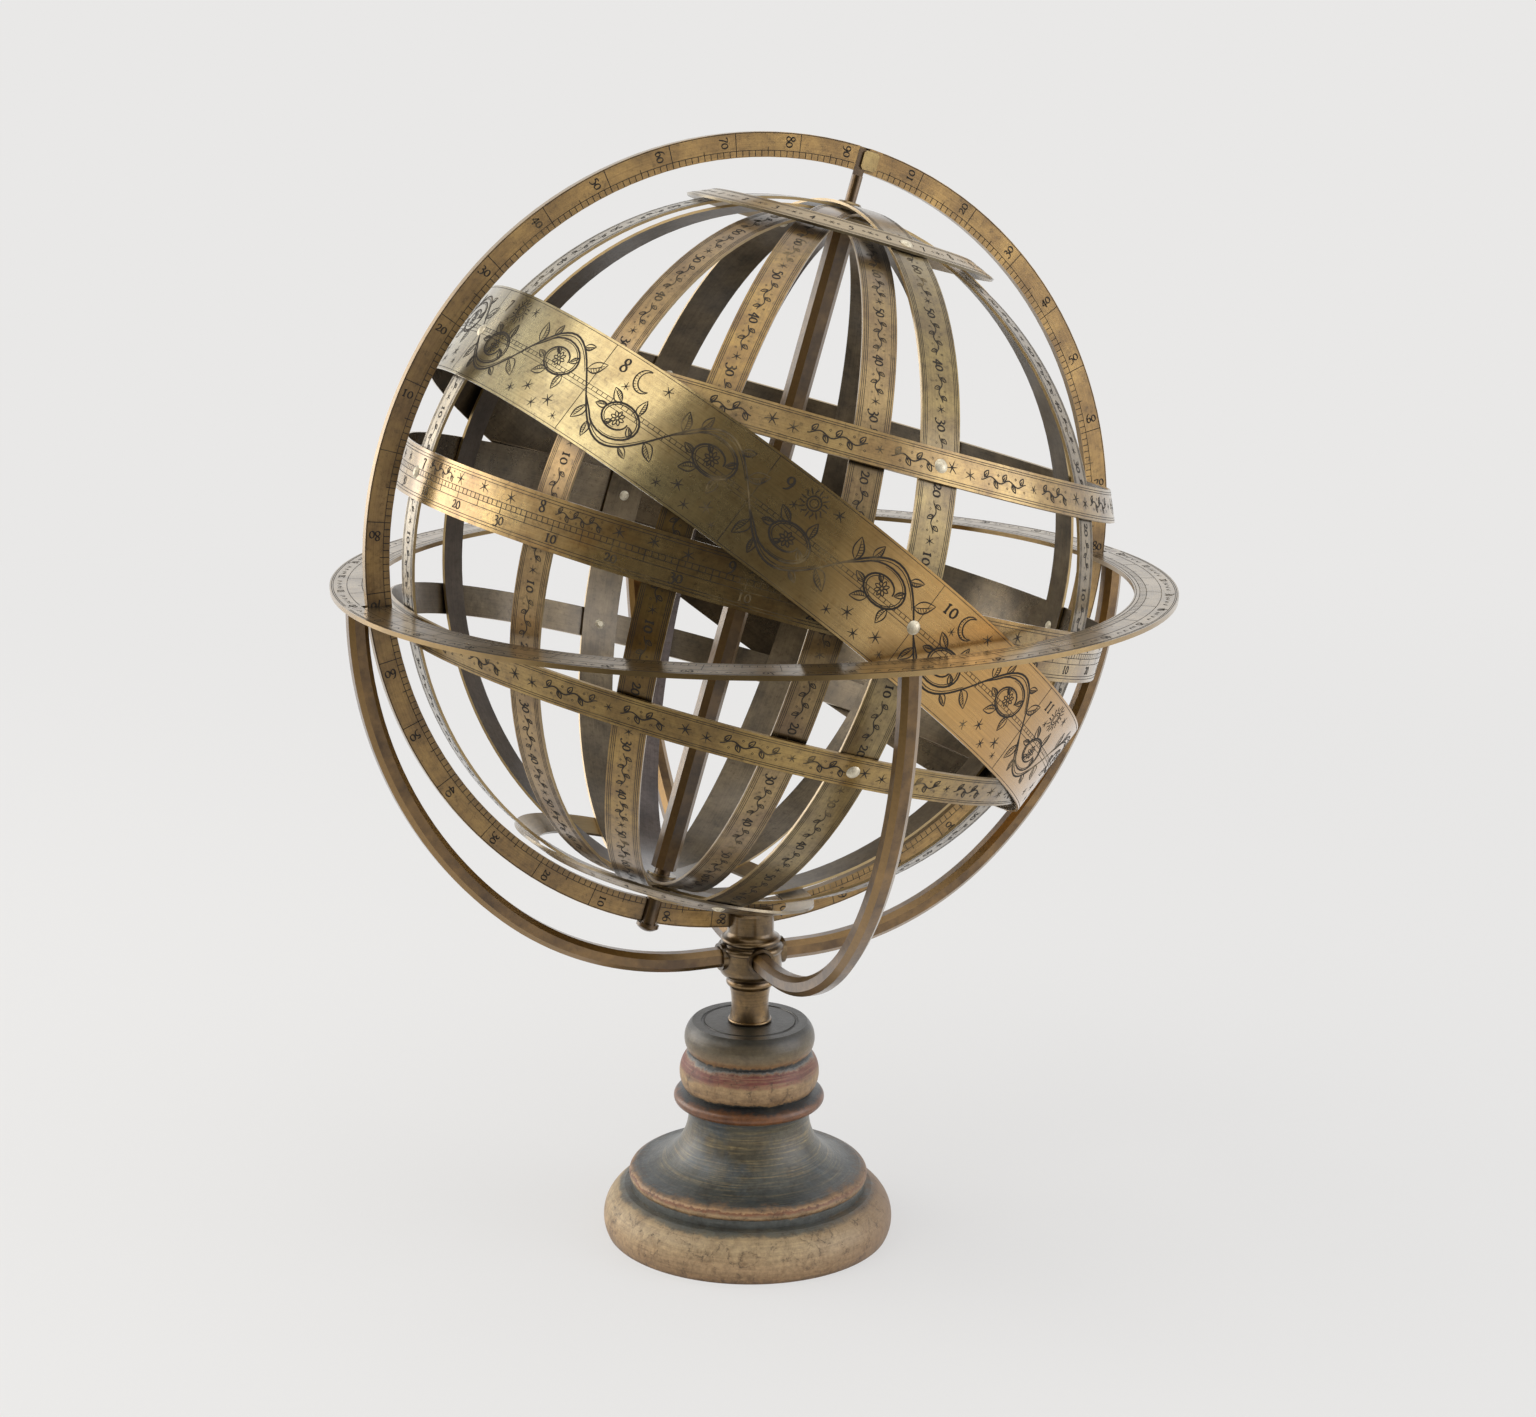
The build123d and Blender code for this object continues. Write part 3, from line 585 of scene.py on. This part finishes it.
# Engraving: cut by hand with a burin and filled with dark wax, which has fallen out in places
# and leaves the cut bright. Lines finer than 0.15 mm are drawn that wide so that they show.
wax_fill, tree = fresh("dark_wax_in_engraving")
place, _ = coordinates(tree)
patch = add(tree, "TexNoise", {"Scale": 1 / 17, "Detail": 5.0, "Roughness": 0.65}, {"Vector": place})
lost = add(tree, "MapRange", {"From Min": 0.55, "From Max": 0.68, "To Max": 0.7}, {"Value": patch})
wax = add(tree, "MixRGB", {"Color1": linear("#2b2318"), "Color2": linear("#8a7448")}, {"Fac": lost})
rough = add(tree, "MapRange", {"To Min": 0.75, "To Max": 0.4}, {"Value": lost})
body = add(tree, "BsdfPrincipled", {"Metallic": 0.15}, {"Base Color": wax, "Roughness": rough})
add(tree, "OutputMaterial", links={"Surface": body})


def smooth(points, steps=4):
    """A smooth line through the points."""
    ends = [points[0]] + list(points) + [points[-1]]
    line = []
    for a, b, c, d in zip(ends, ends[1:], ends[2:], ends[3:]):
        for k in range(steps):
            t = k / steps
            line.append(
                tuple(
                    0.5
                    * (
                        2 * q
                        + (r - p) * t
                        + (2 * p - 5 * q + 4 * r - s) * t * t
                        + (3 * q - p - 3 * r + s) * t ** 3
                    )
                    for p, q, r, s in zip(a, b, c, d)
                )
            )
    return line + [tuple(points[-1])]


def cut(points, width, thin=0.3):
    """A burin's cut along the points, full in the middle and thin at its ends."""
    last = max(len(points) - 1, 1)
    swell = [abs(sin(pi * i / last)) ** 0.6 for i in range(len(points))]
    return [(u, v, width * (thin + (1 - thin) * share)) for (u, v), share in zip(points, swell)]


def ruled(points, width=0.16):
    """A ruled line of even width."""
    return [(u, v, width) for u, v in points]


digit_lines = {
    "0": [
        [
            (0.25, 0.0), (0.07, 0.1), (0.02, 0.34), (0.1, 0.58), (0.25, 0.66), (0.41, 0.57),
            (0.48, 0.33), (0.42, 0.1), (0.25, 0.0),
        ]
    ],
    "1": [
        [(0.22, 0.0), (0.22, 0.66)], [(0.08, 0.0), (0.36, 0.0)],
        [(0.08, 0.6), (0.22, 0.66), (0.36, 0.66)],
    ],
    "2": [
        [(0.04, 0.5), (0.14, 0.65), (0.32, 0.65), (0.4, 0.5), (0.3, 0.26), (0.03, 0.03)],
        [(0.03, 0.03), (0.44, 0.05), (0.48, 0.14)],
    ],
    "3": [
        [(0.05, 0.62), (0.22, 0.68), (0.38, 0.56), (0.34, 0.42), (0.16, 0.33)],
        [(0.16, 0.33), (0.4, 0.27), (0.46, 0.04), (0.32, -0.16), (0.1, -0.22), (0.02, -0.12)],
    ],
    "4": [[(0.38, 0.66), (0.03, 0.1)], [(0.03, 0.1), (0.54, 0.1)], [(0.38, 0.66), (0.36, -0.24)]],
    "5": [
        [(0.44, 0.68), (0.13, 0.66)], [(0.13, 0.66), (0.1, 0.36)],
        [(0.1, 0.36), (0.28, 0.4), (0.44, 0.24), (0.4, -0.02), (0.24, -0.18), (0.04, -0.2)],
    ],
    "6": [
        [
            (0.42, 0.95), (0.2, 0.82), (0.06, 0.5), (0.05, 0.2), (0.18, 0.01), (0.36, 0.05),
            (0.46, 0.25), (0.36, 0.46), (0.2, 0.47), (0.07, 0.33),
        ]
    ],
    "7": [
        [(0.04, 0.54), (0.07, 0.66)], [(0.07, 0.66), (0.48, 0.66)],
        [(0.48, 0.66), (0.3, 0.28), (0.18, -0.22)],
    ],
    "8": [
        [
            (0.26, 0.5), (0.09, 0.63), (0.1, 0.84), (0.26, 0.93), (0.42, 0.84), (0.43, 0.63),
            (0.26, 0.5), (0.07, 0.33), (0.05, 0.12), (0.26, 0.0), (0.47, 0.12), (0.45, 0.33),
            (0.26, 0.5),
        ]
    ],
    "9": [
        [
            (0.06, -0.26), (0.3, -0.12), (0.45, 0.2), (0.45, 0.48), (0.3, 0.67), (0.1, 0.62),
            (0.03, 0.42), (0.12, 0.24), (0.3, 0.2), (0.44, 0.36),
        ]
    ],
}


def turned_point(u, v, x, y, turn):
    """The point (x, y) turned about its origin, which lies at (u, v)."""
    return (u + x * cos(turn) - y * sin(turn), v + x * sin(turn) + y * cos(turn))


def figures(number, u, v, size, turn=0.0):
    """Cuts of a number centred at (u, v), in old-style figures of that size in millimetres."""
    text, cuts = str(number), []
    start = -0.29 * len(text)
    for i, digit in enumerate(text):
        for line in digit_lines[digit]:
            line = smooth(line, 3) if len(line) > 2 else line
            made = []
            for k, (x, y) in enumerate(line):
                (ax, ay), (bx, by) = line[max(k - 1, 0)], line[min(k + 1, len(line) - 1)]
                slant = abs(sin(math.atan2(by - ay, bx - ax) - 0.35))
                x, y = (x + start + 0.58 * i + 0.04) * size, (y - 0.33) * size
                made.append(turned_point(u, v, x, y, turn) + (size * (0.07 + 0.09 * slant),))
            cuts.append(made)
    return cuts


def star(u, v, size, points=6, turn=0.2):
    """Cuts of a small star: tapering strokes crossed at their middles."""
    cuts = []
    for k in range(points):
        a = turn + 2 * pi * k / points
        reach = size / 2 * (1.0 if k % 2 else 0.82)
        cuts.append([(u, v, size * 0.1), (u + reach * cos(a), v + reach * sin(a), size * 0.03)])
    return cuts


def engrave(name, cuts, surface, body):
    """A piece of thin marks lying 0.02 mm proud of a surface, which is a function from
    (along, across) in millimetres to a point in metres."""
    corners, faces = [], []
    for line in cuts:
        first = len(corners)
        for i, (u, v, width) in enumerate(line):
            a, b = line[max(i - 1, 0)], line[min(i + 1, len(line) - 1)]
            du, dv = b[0] - a[0], b[1] - a[1]
            reach = math.hypot(du, dv) or 1.0
            ou, ov = -dv / reach * width / 2, du / reach * width / 2
            corners += [surface(u + ou, v + ov), surface(u - ou, v - ov)]
            if i:
                left = first + 2 * i
                faces.append((left - 1, left + 1, left, left - 2))
    mesh = bpy.data.meshes.new(name)
    mesh.from_pydata(corners, [], faces)
    mesh.materials.append(wax_fill)
    piece = bpy.data.objects.new(name, mesh)
    scene.collection.objects.link(piece)
    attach(piece, body)
    return piece


proud = 0.02
horizon_top = 180.2
horizon_mid = 103.4


def on_horizon(u, v):
    """u runs anticlockwise along the middle of the ring, as seen from above, and v outwards."""
    a = u / horizon_mid
    r = horizon_mid + v
    return Vector((r * cos(a), r * sin(a), horizon_top + proud)) / 1000


def arc(start, end, v, radius, width=0.16, step=2.0):
    """A ruled line at height v from one angle to another, in degrees."""
    count = max(int(abs(end - start) / step), 1)
    return ruled(
        [(radius * radians(start + (end - start) * k / count), v) for k in range(count + 1)], width,
    )


cuts = []
for v in (-5.2, -4.3, -2.6, 1.2, 4.7, 5.1):
    cuts += [arc(1.7, 178.2, v, horizon_mid), arc(180.4, 359.6, v, horizon_mid)]
for degree in range(2, 359):
    if 178 <= degree <= 180:
        continue
    u = horizon_mid * radians(degree)
    low, high = -4.3, (-2.6 if degree % 5 else -1.6)
    if degree % 10 == 0:
        high = 1.2
    cuts.append(ruled([(u, low), (u, high)]))
for sector in range(36):
    count = (90 - abs((sector * 10 + 10) % 180 - 90)) or 90
    place_in = 8.4 if sector < 35 else 7.6
    cuts += figures(count, horizon_mid * radians(sector * 10 + place_in), 3.0, 2.5, pi)
    for k in (1.2, 3.0, 4.8):
        tick = ((0, 0.8), (0.5, -0.3), (1.0, 0.5))
        tick = [(horizon_mid * radians(sector * 10 + k + x), 2.9 + y) for x, y in tick]
        cuts.append(cut(smooth(tick), 0.3))
    cuts += star(horizon_mid * radians(sector * 10 + 6.3), 2.9, 1.8)
engrave("horizon_engraving", cuts, on_horizon, "stand")


# Meridian ring: thicker hammered brass, scraped and divided into four quarters of 90 degrees
# on its front face. It slides round in the hub, and its edges are rubbed bright there.
meridian_finish = sheet_brass(
    "scraped_sheet_meridian", middle, upright_ring, True,
    ("#a5834a", "#806236"), ("#a78a52", "#83673b"), "#96783f", 2, 0.36,
)
finish_node("meridian_ring", meridian_finish)
tilt = radians(16.4)
meridian_mid = 100.9


def on_meridian(u, v):
    """u runs clockwise from the north pole, as seen from the front, and v outwards."""
    a = u / meridian_mid + tilt
    r = meridian_mid + v
    return Vector((r * sin(a), -proud, 190.0 + r * cos(a))) / 1000


def meridian_arc(start, end, v):
    """A ruled line round the meridian ring, in degrees from the north pole."""
    return arc(start, end, v, meridian_mid)


cuts = []
for start, end in ((3.0, 178.6), (181.4, 358.9)):
    cuts += [meridian_arc(start, end, -1.5), meridian_arc(start, end, 2.85)]
for degree in range(0, 360):
    if degree < 3 or abs(degree - 180) < 2 or degree > 358:
        continue
    u = meridian_mid * radians(degree)
    high = 2.9 if degree % 10 == 0 else (-0.7 if degree % 5 == 0 else -1.5)
    cuts.append(ruled([(u, -3.0), (u, high)], 0.2))
for quarter_turn in (0, 180):
    for ten in range(10, 90, 10):
        spot = radians(quarter_turn + ten - 1.75)
        cuts += figures(ten, meridian_mid * spot, 0.75, 2.5, 0.5 * pi)
    for ten in range(0, 90, 10):
        spot = radians(quarter_turn - ten - (2.6 if ten == 0 else 1.75))
        cuts += figures(90 - ten, meridian_mid * spot, 0.75, 2.5, -0.5 * pi)
engrave("meridian_engraving", cuts, on_meridian, "meridian")


# Axis rod and keeper: a square bar with filed bevels, dark between its lighter edges, which are
# rubbed by wear and also painted as a highlight, and a bright little plate soldered over the north pin.
axis_turn = Matrix.Rotation(tilt, 3, "Y")
axis_finish = bar_brass("filed_bar_brass_axis", axis_turn, middle, "#6a5130", "#3f2f1c", "#8d6c3a")
finish_node("axis_rod", axis_finish)
keeper_finish = bar_brass("filed_plate_brass", axis_turn, middle, "#b39a62", "#8f7443", "#c4ac74")
finish_node("north_pin_keeper", keeper_finish)


# Hour circles: six strips of thin sheet, hammered, scraped and bent to rings, lapped inside
# one another at the poles. The outside is golden, with a double border and a row of figures
# and leaves, and the inside was never polished and has gone a dark olive brown.
cage_centre = Vector(middle) + axis_turn @ Vector((0, 0, -0.0034))
cage_radius = 92.5
cage_place = Matrix.Translation(cage_centre) @ axis_turn.to_4x4()


def on_hour_circle(spin, polar_radius):
    turned = cage_place @ Matrix.Rotation(radians(spin), 4, "Z")

    def surface(u, v):
        """u runs north from the equator and v to the west."""
        t = u / cage_radius
        return turned @ (
            Vector(((cage_radius + proud) * cos(t), -v, (polar_radius + proud) * sin(t))) / 1000
        )

    return surface


def sprig(u, v, size, turn):
    """Cuts of a small pointed leaf on its stalk, which starts at (u, v)."""
    shape = (
        smooth([(0.1, 0.0), (0.4, 0.25), (0.75, 0.2), (1.05, 0.0)]),
        smooth([(0.1, 0.0), (0.4, -0.2), (0.75, -0.16), (1.05, 0.0)]),
        [(0.0, 0.0), (0.3, 0.03), (0.7, 0.0)],
    )
    cuts = []
    for line in shape:
        cuts.append(cut([turned_point(u, v, size * x, size * y, turn) for x, y in line], size * 0.14))
    return cuts


def lozenge(u, v, size):
    """Cuts of a small diamond."""
    h = size / 2
    return [cut([(u - h, v), (u, v + h), (u + h, v), (u, v - h), (u - h, v)], size * 0.2, 0.9)]


def vine(start, end, v, height):
    """Cuts of a running stem with a leaf in each of its bends, the leaves up and down by turns."""
    count = max(round((end - start) / (0.8 * height)), 1)
    step = (end - start) / count
    stem = [(start + step * k / 5, v - 0.16 * height * cos(pi * k / 5)) for k in range(5 * count + 1)]
    cuts = [cut(stem, 0.085 * height, 0.7)]
    for k in range(count):
        side = 1 if k % 2 == 0 else -1
        u = start + step * (k + 0.3)
        cuts += sprig(u, v, 0.62 * height, side * 1.0)
        cuts += lozenge(u + 0.5 * step, v - side * 0.36 * height, 0.16 * height)
    return cuts


circle_tones = {
    "equinox_colure": (90, 92.5, 10.4, ("#95804f", "#715d3c"), olive),
    "solstice_colure": (0, 91.65, 8.7, ("#a99a7a", "#8b7a5a"), olive),
    "hour_circle_1": (53, 90.8, 8.7, ("#98793d", "#74562b"), olive),
    "hour_circle_2": (127, 89.95, 8.7, ("#8f7a50", "#6e5a3b"), ("#5f5347", "#4b4138")),
    "hour_circle_3": (33, 89.1, 8.7, ("#9e8150", "#775c37"), olive),
    "hour_circle_4": (78, 88.25, 8.7, ("#9a8050", "#755c3c"), ("#6a5d58", "#4f4644")),
}
for number, (name, (spin, polar, width, face, back)) in enumerate(circle_tones.items()):
    ring_turn = axis_turn @ Matrix.Rotation(radians(spin), 3, "Z") @ upright_ring
    finish = sheet_brass(
        f"scraped_strip_{name}", cage_centre, ring_turn, False, face, back, "#b59a68", 3 + number,
    )
    finish_node(name, finish)
    cuts = []
    for side in (-1, 1):
        for edge in (0.5, 0.95, 1.4):
            for half in (0, 180):
                cuts.append(arc(half - 83, half + 83, side * (width / 2 - edge), cage_radius, 0.13))
    for half in (0, 180):
        first = cage_radius * radians(half)
        for ten in range(-70, 80, 10):
            u = first + cage_radius * radians(ten)
            if ten:
                cuts += figures(abs(ten), u, 0, 2.9)
            if ten < 70:
                cuts += vine(u + 2.6, u + (13.4 if ten % 20 else 10.2), 0, 3.1)
                if ten % 20 == 0:
                    cuts += star(u + 12.1, 0, 2.6)
    engrave(f"{name}_engraving", cuts, on_hour_circle(spin, polar), "sphere")


# Five parallels: strips bent to cones that lie flat on the cage, riveted outside the hour
# circles. The equator is divided into degrees, numbered by tens in twelve parts of thirty.
parallel_face = 93.40


def on_parallel(latitude):
    lean = radians(latitude)
    reach = parallel_face + proud

    def surface(u, v):
        """u runs east along the middle of the strip and v to the north."""
        a = u / (parallel_face * cos(lean))
        r = reach * cos(lean) - v * sin(lean)
        return cage_place @ (Vector((r * cos(a), r * sin(a), reach * sin(lean) + v * cos(lean))) / 1000)

    return surface


def border(radius, edge, pair=0.56):
    """A double line along each edge of a strip."""
    return [arc(0, 360, side * v, radius, 0.14) for side in (-1, 1) for v in (edge, edge - pair)]


strips = {
    "arctic_circle": (66.5, 7.4, ("#9c8d6c", "#75664a")),
    "tropic_of_cancer": (23.5, 8.4, ("#aa8d54", "#84673a")),
    "tropic_of_capricorn": (-23.5, 8.4, ("#a88a4b", "#836633")),
    "antarctic_circle": (-66.5, 7.4, ("#8d7d60", "#6d5f47")),
}
for number, (name, (latitude, width, face)) in enumerate(strips.items()):
    finish = sheet_brass(
        f"scraped_strip_{name}", cage_centre, axis_turn, False, face, olive, "#b59a68", 11 + number,
    )
    finish_node(name, finish)
    radius = parallel_face * cos(radians(latitude))
    cuts = border(radius, width / 2 - 0.7)
    if abs(latitude) > 60:
        for hour in range(24):
            u = radius * radians(15 * hour + 7.5)
            cuts += figures(hour % 12 + 1, u, 0, 2.5)
            cuts += lozenge(u + 3.2, 0, 0.8) + star(u + 4.9, 0, 2.2) + lozenge(u + 6.6, 0, 0.8)
    else:
        for part in range(12):
            u = radius * radians(30 * part)
            cuts += star(u + 3.0, 0.3, 3.6) + star(u + 8.2, -0.4, 3.2, 6, 0.6)
            cuts += vine(u + 11.5, u + 26.0, 0, 3.7) + star(u + 29.0, 0, 2.4)
            cuts += vine(u + 32.0, u + 43.0, 0, 3.7)
    engrave(f"{name}_engraving", cuts, on_parallel(latitude), "sphere")

equator_finish = sheet_brass(
    "scraped_strip_equator", cage_centre, axis_turn, False,
    ("#b89a60", "#8a6a38"), olive, "#c2a873", 15, 0.25,
)
finish_node("equator_ring", equator_finish)
cuts = border(parallel_face, 5.4, 0.7)
for v in (-1.7, -0.2, 1.1):
    cuts.append(arc(0, 360, v, parallel_face, 0.14))
for degree in range(360):
    u = parallel_face * radians(degree)
    low = -1.7 if degree % 5 == 0 else -0.2
    cuts.append(ruled([(u, low), (u, 1.1)], 0.17))
for ten in range(36):
    u = parallel_face * radians(10 * ten - 4.8)
    cuts += figures((10, 20, 30)[(ten + 2) % 3], u, -3.2, 2.8)
chance = random.Random(7)
for part in range(12):
    u = parallel_face * radians(30 * part)
    cuts += figures(part + 1, u + 4.0, 3.0, 3.0)
    cuts += vine(u + 8.0, u + 21.0, 3.0, 2.9)
    for k in (25.0, 33.0, 42.0):
        cuts += star(
            u + k + chance.uniform(-1.5, 1.5), 3.0 + chance.uniform(-0.4, 0.4), 3.4, 6,
            chance.uniform(0, 1),
        )
engrave("equator_engraving", cuts, on_parallel(0), "sphere")


# Zodiac band: the broadest strip, leaning 23.5 degrees to the equator. A divided line runs
# along its middle, with a scroll of leaves winding over it, suns, moons and stars.
zodiac_face = 94.36
zodiac_turn = axis_turn @ Matrix.Rotation(radians(23.5), 3, "Y")
# The zodiac's third tone is a painted reflection, laid over its right-hand part.
zodiac_finish = sheet_brass(
    "scraped_strip_zodiac", cage_centre, zodiac_turn, False,
    ("#aa9b6d", "#8b7a50", "#c49247"), olive, "#cbb27c", 16, 0.25,
)
finish_node("zodiac_band", zodiac_finish)
zodiac_place = Matrix.Translation(cage_centre) @ zodiac_turn.to_4x4()


def on_zodiac(u, v):
    """u runs east along the middle of the band and v to its north."""
    a = u / zodiac_face
    r = zodiac_face + proud
    return zodiac_place @ (Vector((r * cos(a), r * sin(a), v)) / 1000)


def leaf(u, v, length, turn, bend=0.0):
    """Cuts of a broad pointed leaf: two sides, a midrib and hatching on its shaded half."""
    c, s = cos(turn), sin(turn)

    def put(x, y):
        y += bend * x * x
        return (u + length * (x * c - y * s), v + length * (x * s + y * c))

    upper = smooth([put(x, 0.27 * sin(pi * x ** 0.8)) for x in (0, 0.2, 0.4, 0.6, 0.8, 1)], 3)
    lower = smooth([put(x, -0.23 * sin(pi * x ** 0.9)) for x in (0, 0.2, 0.4, 0.6, 0.8, 1)], 3)
    rib = smooth([put(x, 0.0) for x in (-0.1, 0.3, 0.6, 0.85)], 3)
    cuts = [cut(upper, 0.3), cut(lower, 0.38), cut(rib, 0.22)]
    for k in range(5):
        x = 0.2 + 0.12 * k
        cuts.append(
            [put(x, -0.02) + (0.16,), put(x + 0.08, -0.19 * sin(pi * (x + 0.08) ** 0.9)) + (0.1,)]
        )
    return cuts


def coil(u, v, side):
    """Cuts of one coil of the scroll: a stem that winds in to a flower with eight petals."""
    line, inner = [(u - 11.2, v - side * 0.9)], []
    for k in range(34):
        t = k / 33
        a = 2.75 - 9.0 * t
        r = 1 - 0.6 * t ** 0.85
        line.append((u + 8.0 * r * cos(a), v + side * 5.7 * r * sin(a)))
        if 2 < k < 29:
            r -= 0.085
            inner.append((u + 8.0 * r * cos(a), v + side * 5.7 * r * sin(a)))
    cuts = [cut(line, 0.5, 0.7), cut(inner, 0.24, 0.4)]
    for k in range(8):
        a = 2 * pi * k / 8
        petal = ((0.45, 0.0), (1.1, 0.4), (1.9, 0.0), (1.1, -0.4), (0.45, 0.0))
        petal = smooth([turned_point(u, v, x, y, a) for x, y in petal], 3)
        cuts.append(cut(petal, 0.26))
    cuts.append(
        cut([(u + 0.4 * cos(pi * k / 4), v + 0.4 * sin(pi * k / 4)) for k in range(9)], 0.22, 1.0)
    )
    for k, length, lean in (
        (9, 2.9, 1.0), (14, 4.2, -0.9), (18, 4.4, -0.8), (21, 3.2, -0.8), (26, 2.2, 0.8),
    ):
        (x, y), (p, q) = line[k], line[k + 1]
        cuts += leaf(x, y, length, math.atan2(q - y, p - x) - side * lean, -0.2 * side * lean)
    return cuts


def rayed_sun(u, v, size):
    """Cuts of a plain disc with straight and waved rays."""
    ring = [(u + size * cos(2 * pi * k / 20), v + size * sin(2 * pi * k / 20)) for k in range(21)]
    small = [(u + 0.6 * (x - u), v + 0.6 * (y - v)) for x, y in ring]
    cuts = [cut(ring, 0.32, 1.0), cut(small, 0.2, 1.0)]
    for k in range(16):
        a = 2 * pi * k / 16
        ray = []
        for j in range(5):
            r = size * (1.15 + 0.26 * j)
            b = a + (0.12 * sin(pi * j / 2) if k % 2 else 0.0)
            ray.append((u + r * cos(b), v + r * sin(b)))
        cuts.append(cut(ray, 0.3, 0.2))
    return cuts


def crescent(u, v, size, turn):
    """Cuts of a plain crescent with hatching along its hollow."""
    outer, hollow, cuts = [], [], []
    for k in range(17):
        a = radians(60 + 240 * k / 16)
        outer.append((size * cos(a), size * sin(a)))
        b = radians(78 + 204 * k / 16)
        hollow.append((0.28 * size + 0.86 * size * cos(b), 0.86 * size * sin(b)))
    for line in (outer, hollow):
        cuts.append(cut([turned_point(u, v, x, y, turn) for x, y in line], 0.34, 0.5))
    for k in range(4, 13):
        (x, y), (p, q) = outer[k], hollow[k]
        p, q = x + 0.6 * (p - x), y + 0.6 * (q - y)
        cuts.append([turned_point(u, v, x, y, turn) + (0.16,), turned_point(u, v, p, q, turn) + (0.1,)])
    return cuts


cuts = []
chance = random.Random(12)
for v in (-0.95, 0.0, 0.95, -12.2, 12.2):
    cuts.append(arc(0, 360, v, zodiac_face, 0.13))
for degree in range(360):
    u = zodiac_face * radians(degree)
    cuts.append(ruled([(u, -0.95 if degree % 5 == 0 else 0.0), (u, 0.95)], 0.15))
length = zodiac_face * radians(15)
for lobe in range(24):
    start = length * lobe
    side = 1 if lobe % 2 else -1
    if lobe % 2 == 0:
        cuts.append(ruled([(start, -12.2), (start, 12.2)], 0.15))
    arch = [(start + length * k / 16, side * 9.3 * sin(pi * k / 16)) for k in range(17)]
    cuts += [cut(arch, 0.5, 0.8), cut([(u, v - 0.75 * side) for u, v in arch[2:15]], 0.22, 0.5)]
    cuts += coil(start + length / 2, side * 2.3, side)
    for k, size, lean in ((2, 5.0, 0.9), (4, 3.6, 0.5), (11, 3.4, 0.9), (14, 5.2, 1.3)):
        (x, y), (p, q) = arch[k], arch[k + 1]
        cuts += leaf(
            x, y, size * chance.uniform(0.9, 1.1), math.atan2(q - y, p - x) + side * lean,
            0.2 * side,
        )
    low = -side
    if lobe % 2 == 0:
        cuts += figures(lobe // 2 + 1, start + 5.4, low * 8.6, 3.6)
        if lobe % 4 == 0:
            cuts += rayed_sun(start + 12.6, low * 8.0, 1.7)
        else:
            cuts += crescent(start + 12.4, low * 8.2, 2.9, 0.4)
        cuts += star(start + 19.0, low * 9.3, 3.2, 6, 0.3) + star(start + 9.0, low * 5.0, 2.4, 6, 0.6)
    else:
        for x, y, size in (
            (4.6, 9.4, 2.8), (9.2, 6.9, 3.4), (13.4, 9.9, 3.0), (17.8, 7.4, 3.6), (21.6, 10.0, 2.4),
        ):
            cuts += star(start + x + chance.uniform(-0.6, 0.6), low * y, size, 6, chance.uniform(0, 1))
engrave("zodiac_engraving", cuts, on_zodiac, "sphere")


# Polar bushes: turned brass eyelets that hold the lapped circles and run on the axis pins.
for bush in ("north_bush", "south_bush"):
    eyelet = bar_brass(f"turned_eyelet_{bush}", axis_turn, middle, "#8b7550", "#60502f", "#a88c58")
    finish_node(bush, eyelet)


# Rivets: soft white metal wire, hammered to a low dome. The heads are bright, with a brown ring of
# painted shade round each where it meets the band, which also stands for old polish.
rivet_white, tree = fresh("hammered_white_metal_rivet")
place, _ = coordinates(tree)
dull = add(tree, "TexNoise", {"Scale": 1 / 0.9, "Detail": 5.0, "Roughness": 0.7}, {"Vector": place})
share = add(tree, "MapRange", {"From Min": 0.42, "From Max": 0.72}, {"Value": dull})
tone = add(tree, "MixRGB", {"Color1": linear("#e9dfc6"), "Color2": linear("#b5a78a")}, {"Fac": share})
# Painted shade: darkens the head to brown where ambient occlusion finds it close to the band, within 1.2
# mm.
crevice = add(tree, "AmbientOcclusion", {"samples": 6, "Distance": 0.0012})
grime_and_painted_shade = add(
    tree, "MapRange", {"From Min": 0.3, "From Max": 0.8, "To Min": 0.9, "To Max": 0.0},
    {"Value": crevice.outputs["AO"]},
)
tone = add(tree, "MixRGB", {"Color2": linear("#3a2d1e")}, {"Fac": grime_and_painted_shade, "Color1": tone})
rough = add(tree, "MapRange", {"To Min": 0.3, "To Max": 0.5}, {"Value": dull})
bump = add(tree, "Bump", {"Strength": 0.4, "Distance": 0.0001}, {"Height": dull})
metal = add(
    tree, "BsdfPrincipled", {"Metallic": 0.45},
    {"Base Color": tone, "Roughness": rough, "Normal": bump},
)
add(tree, "OutputMaterial", links={"Surface": metal})
finish_node("parallel_rivets", rivet_white)
finish_node("zodiac_rivets", rivet_white)


low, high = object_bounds()
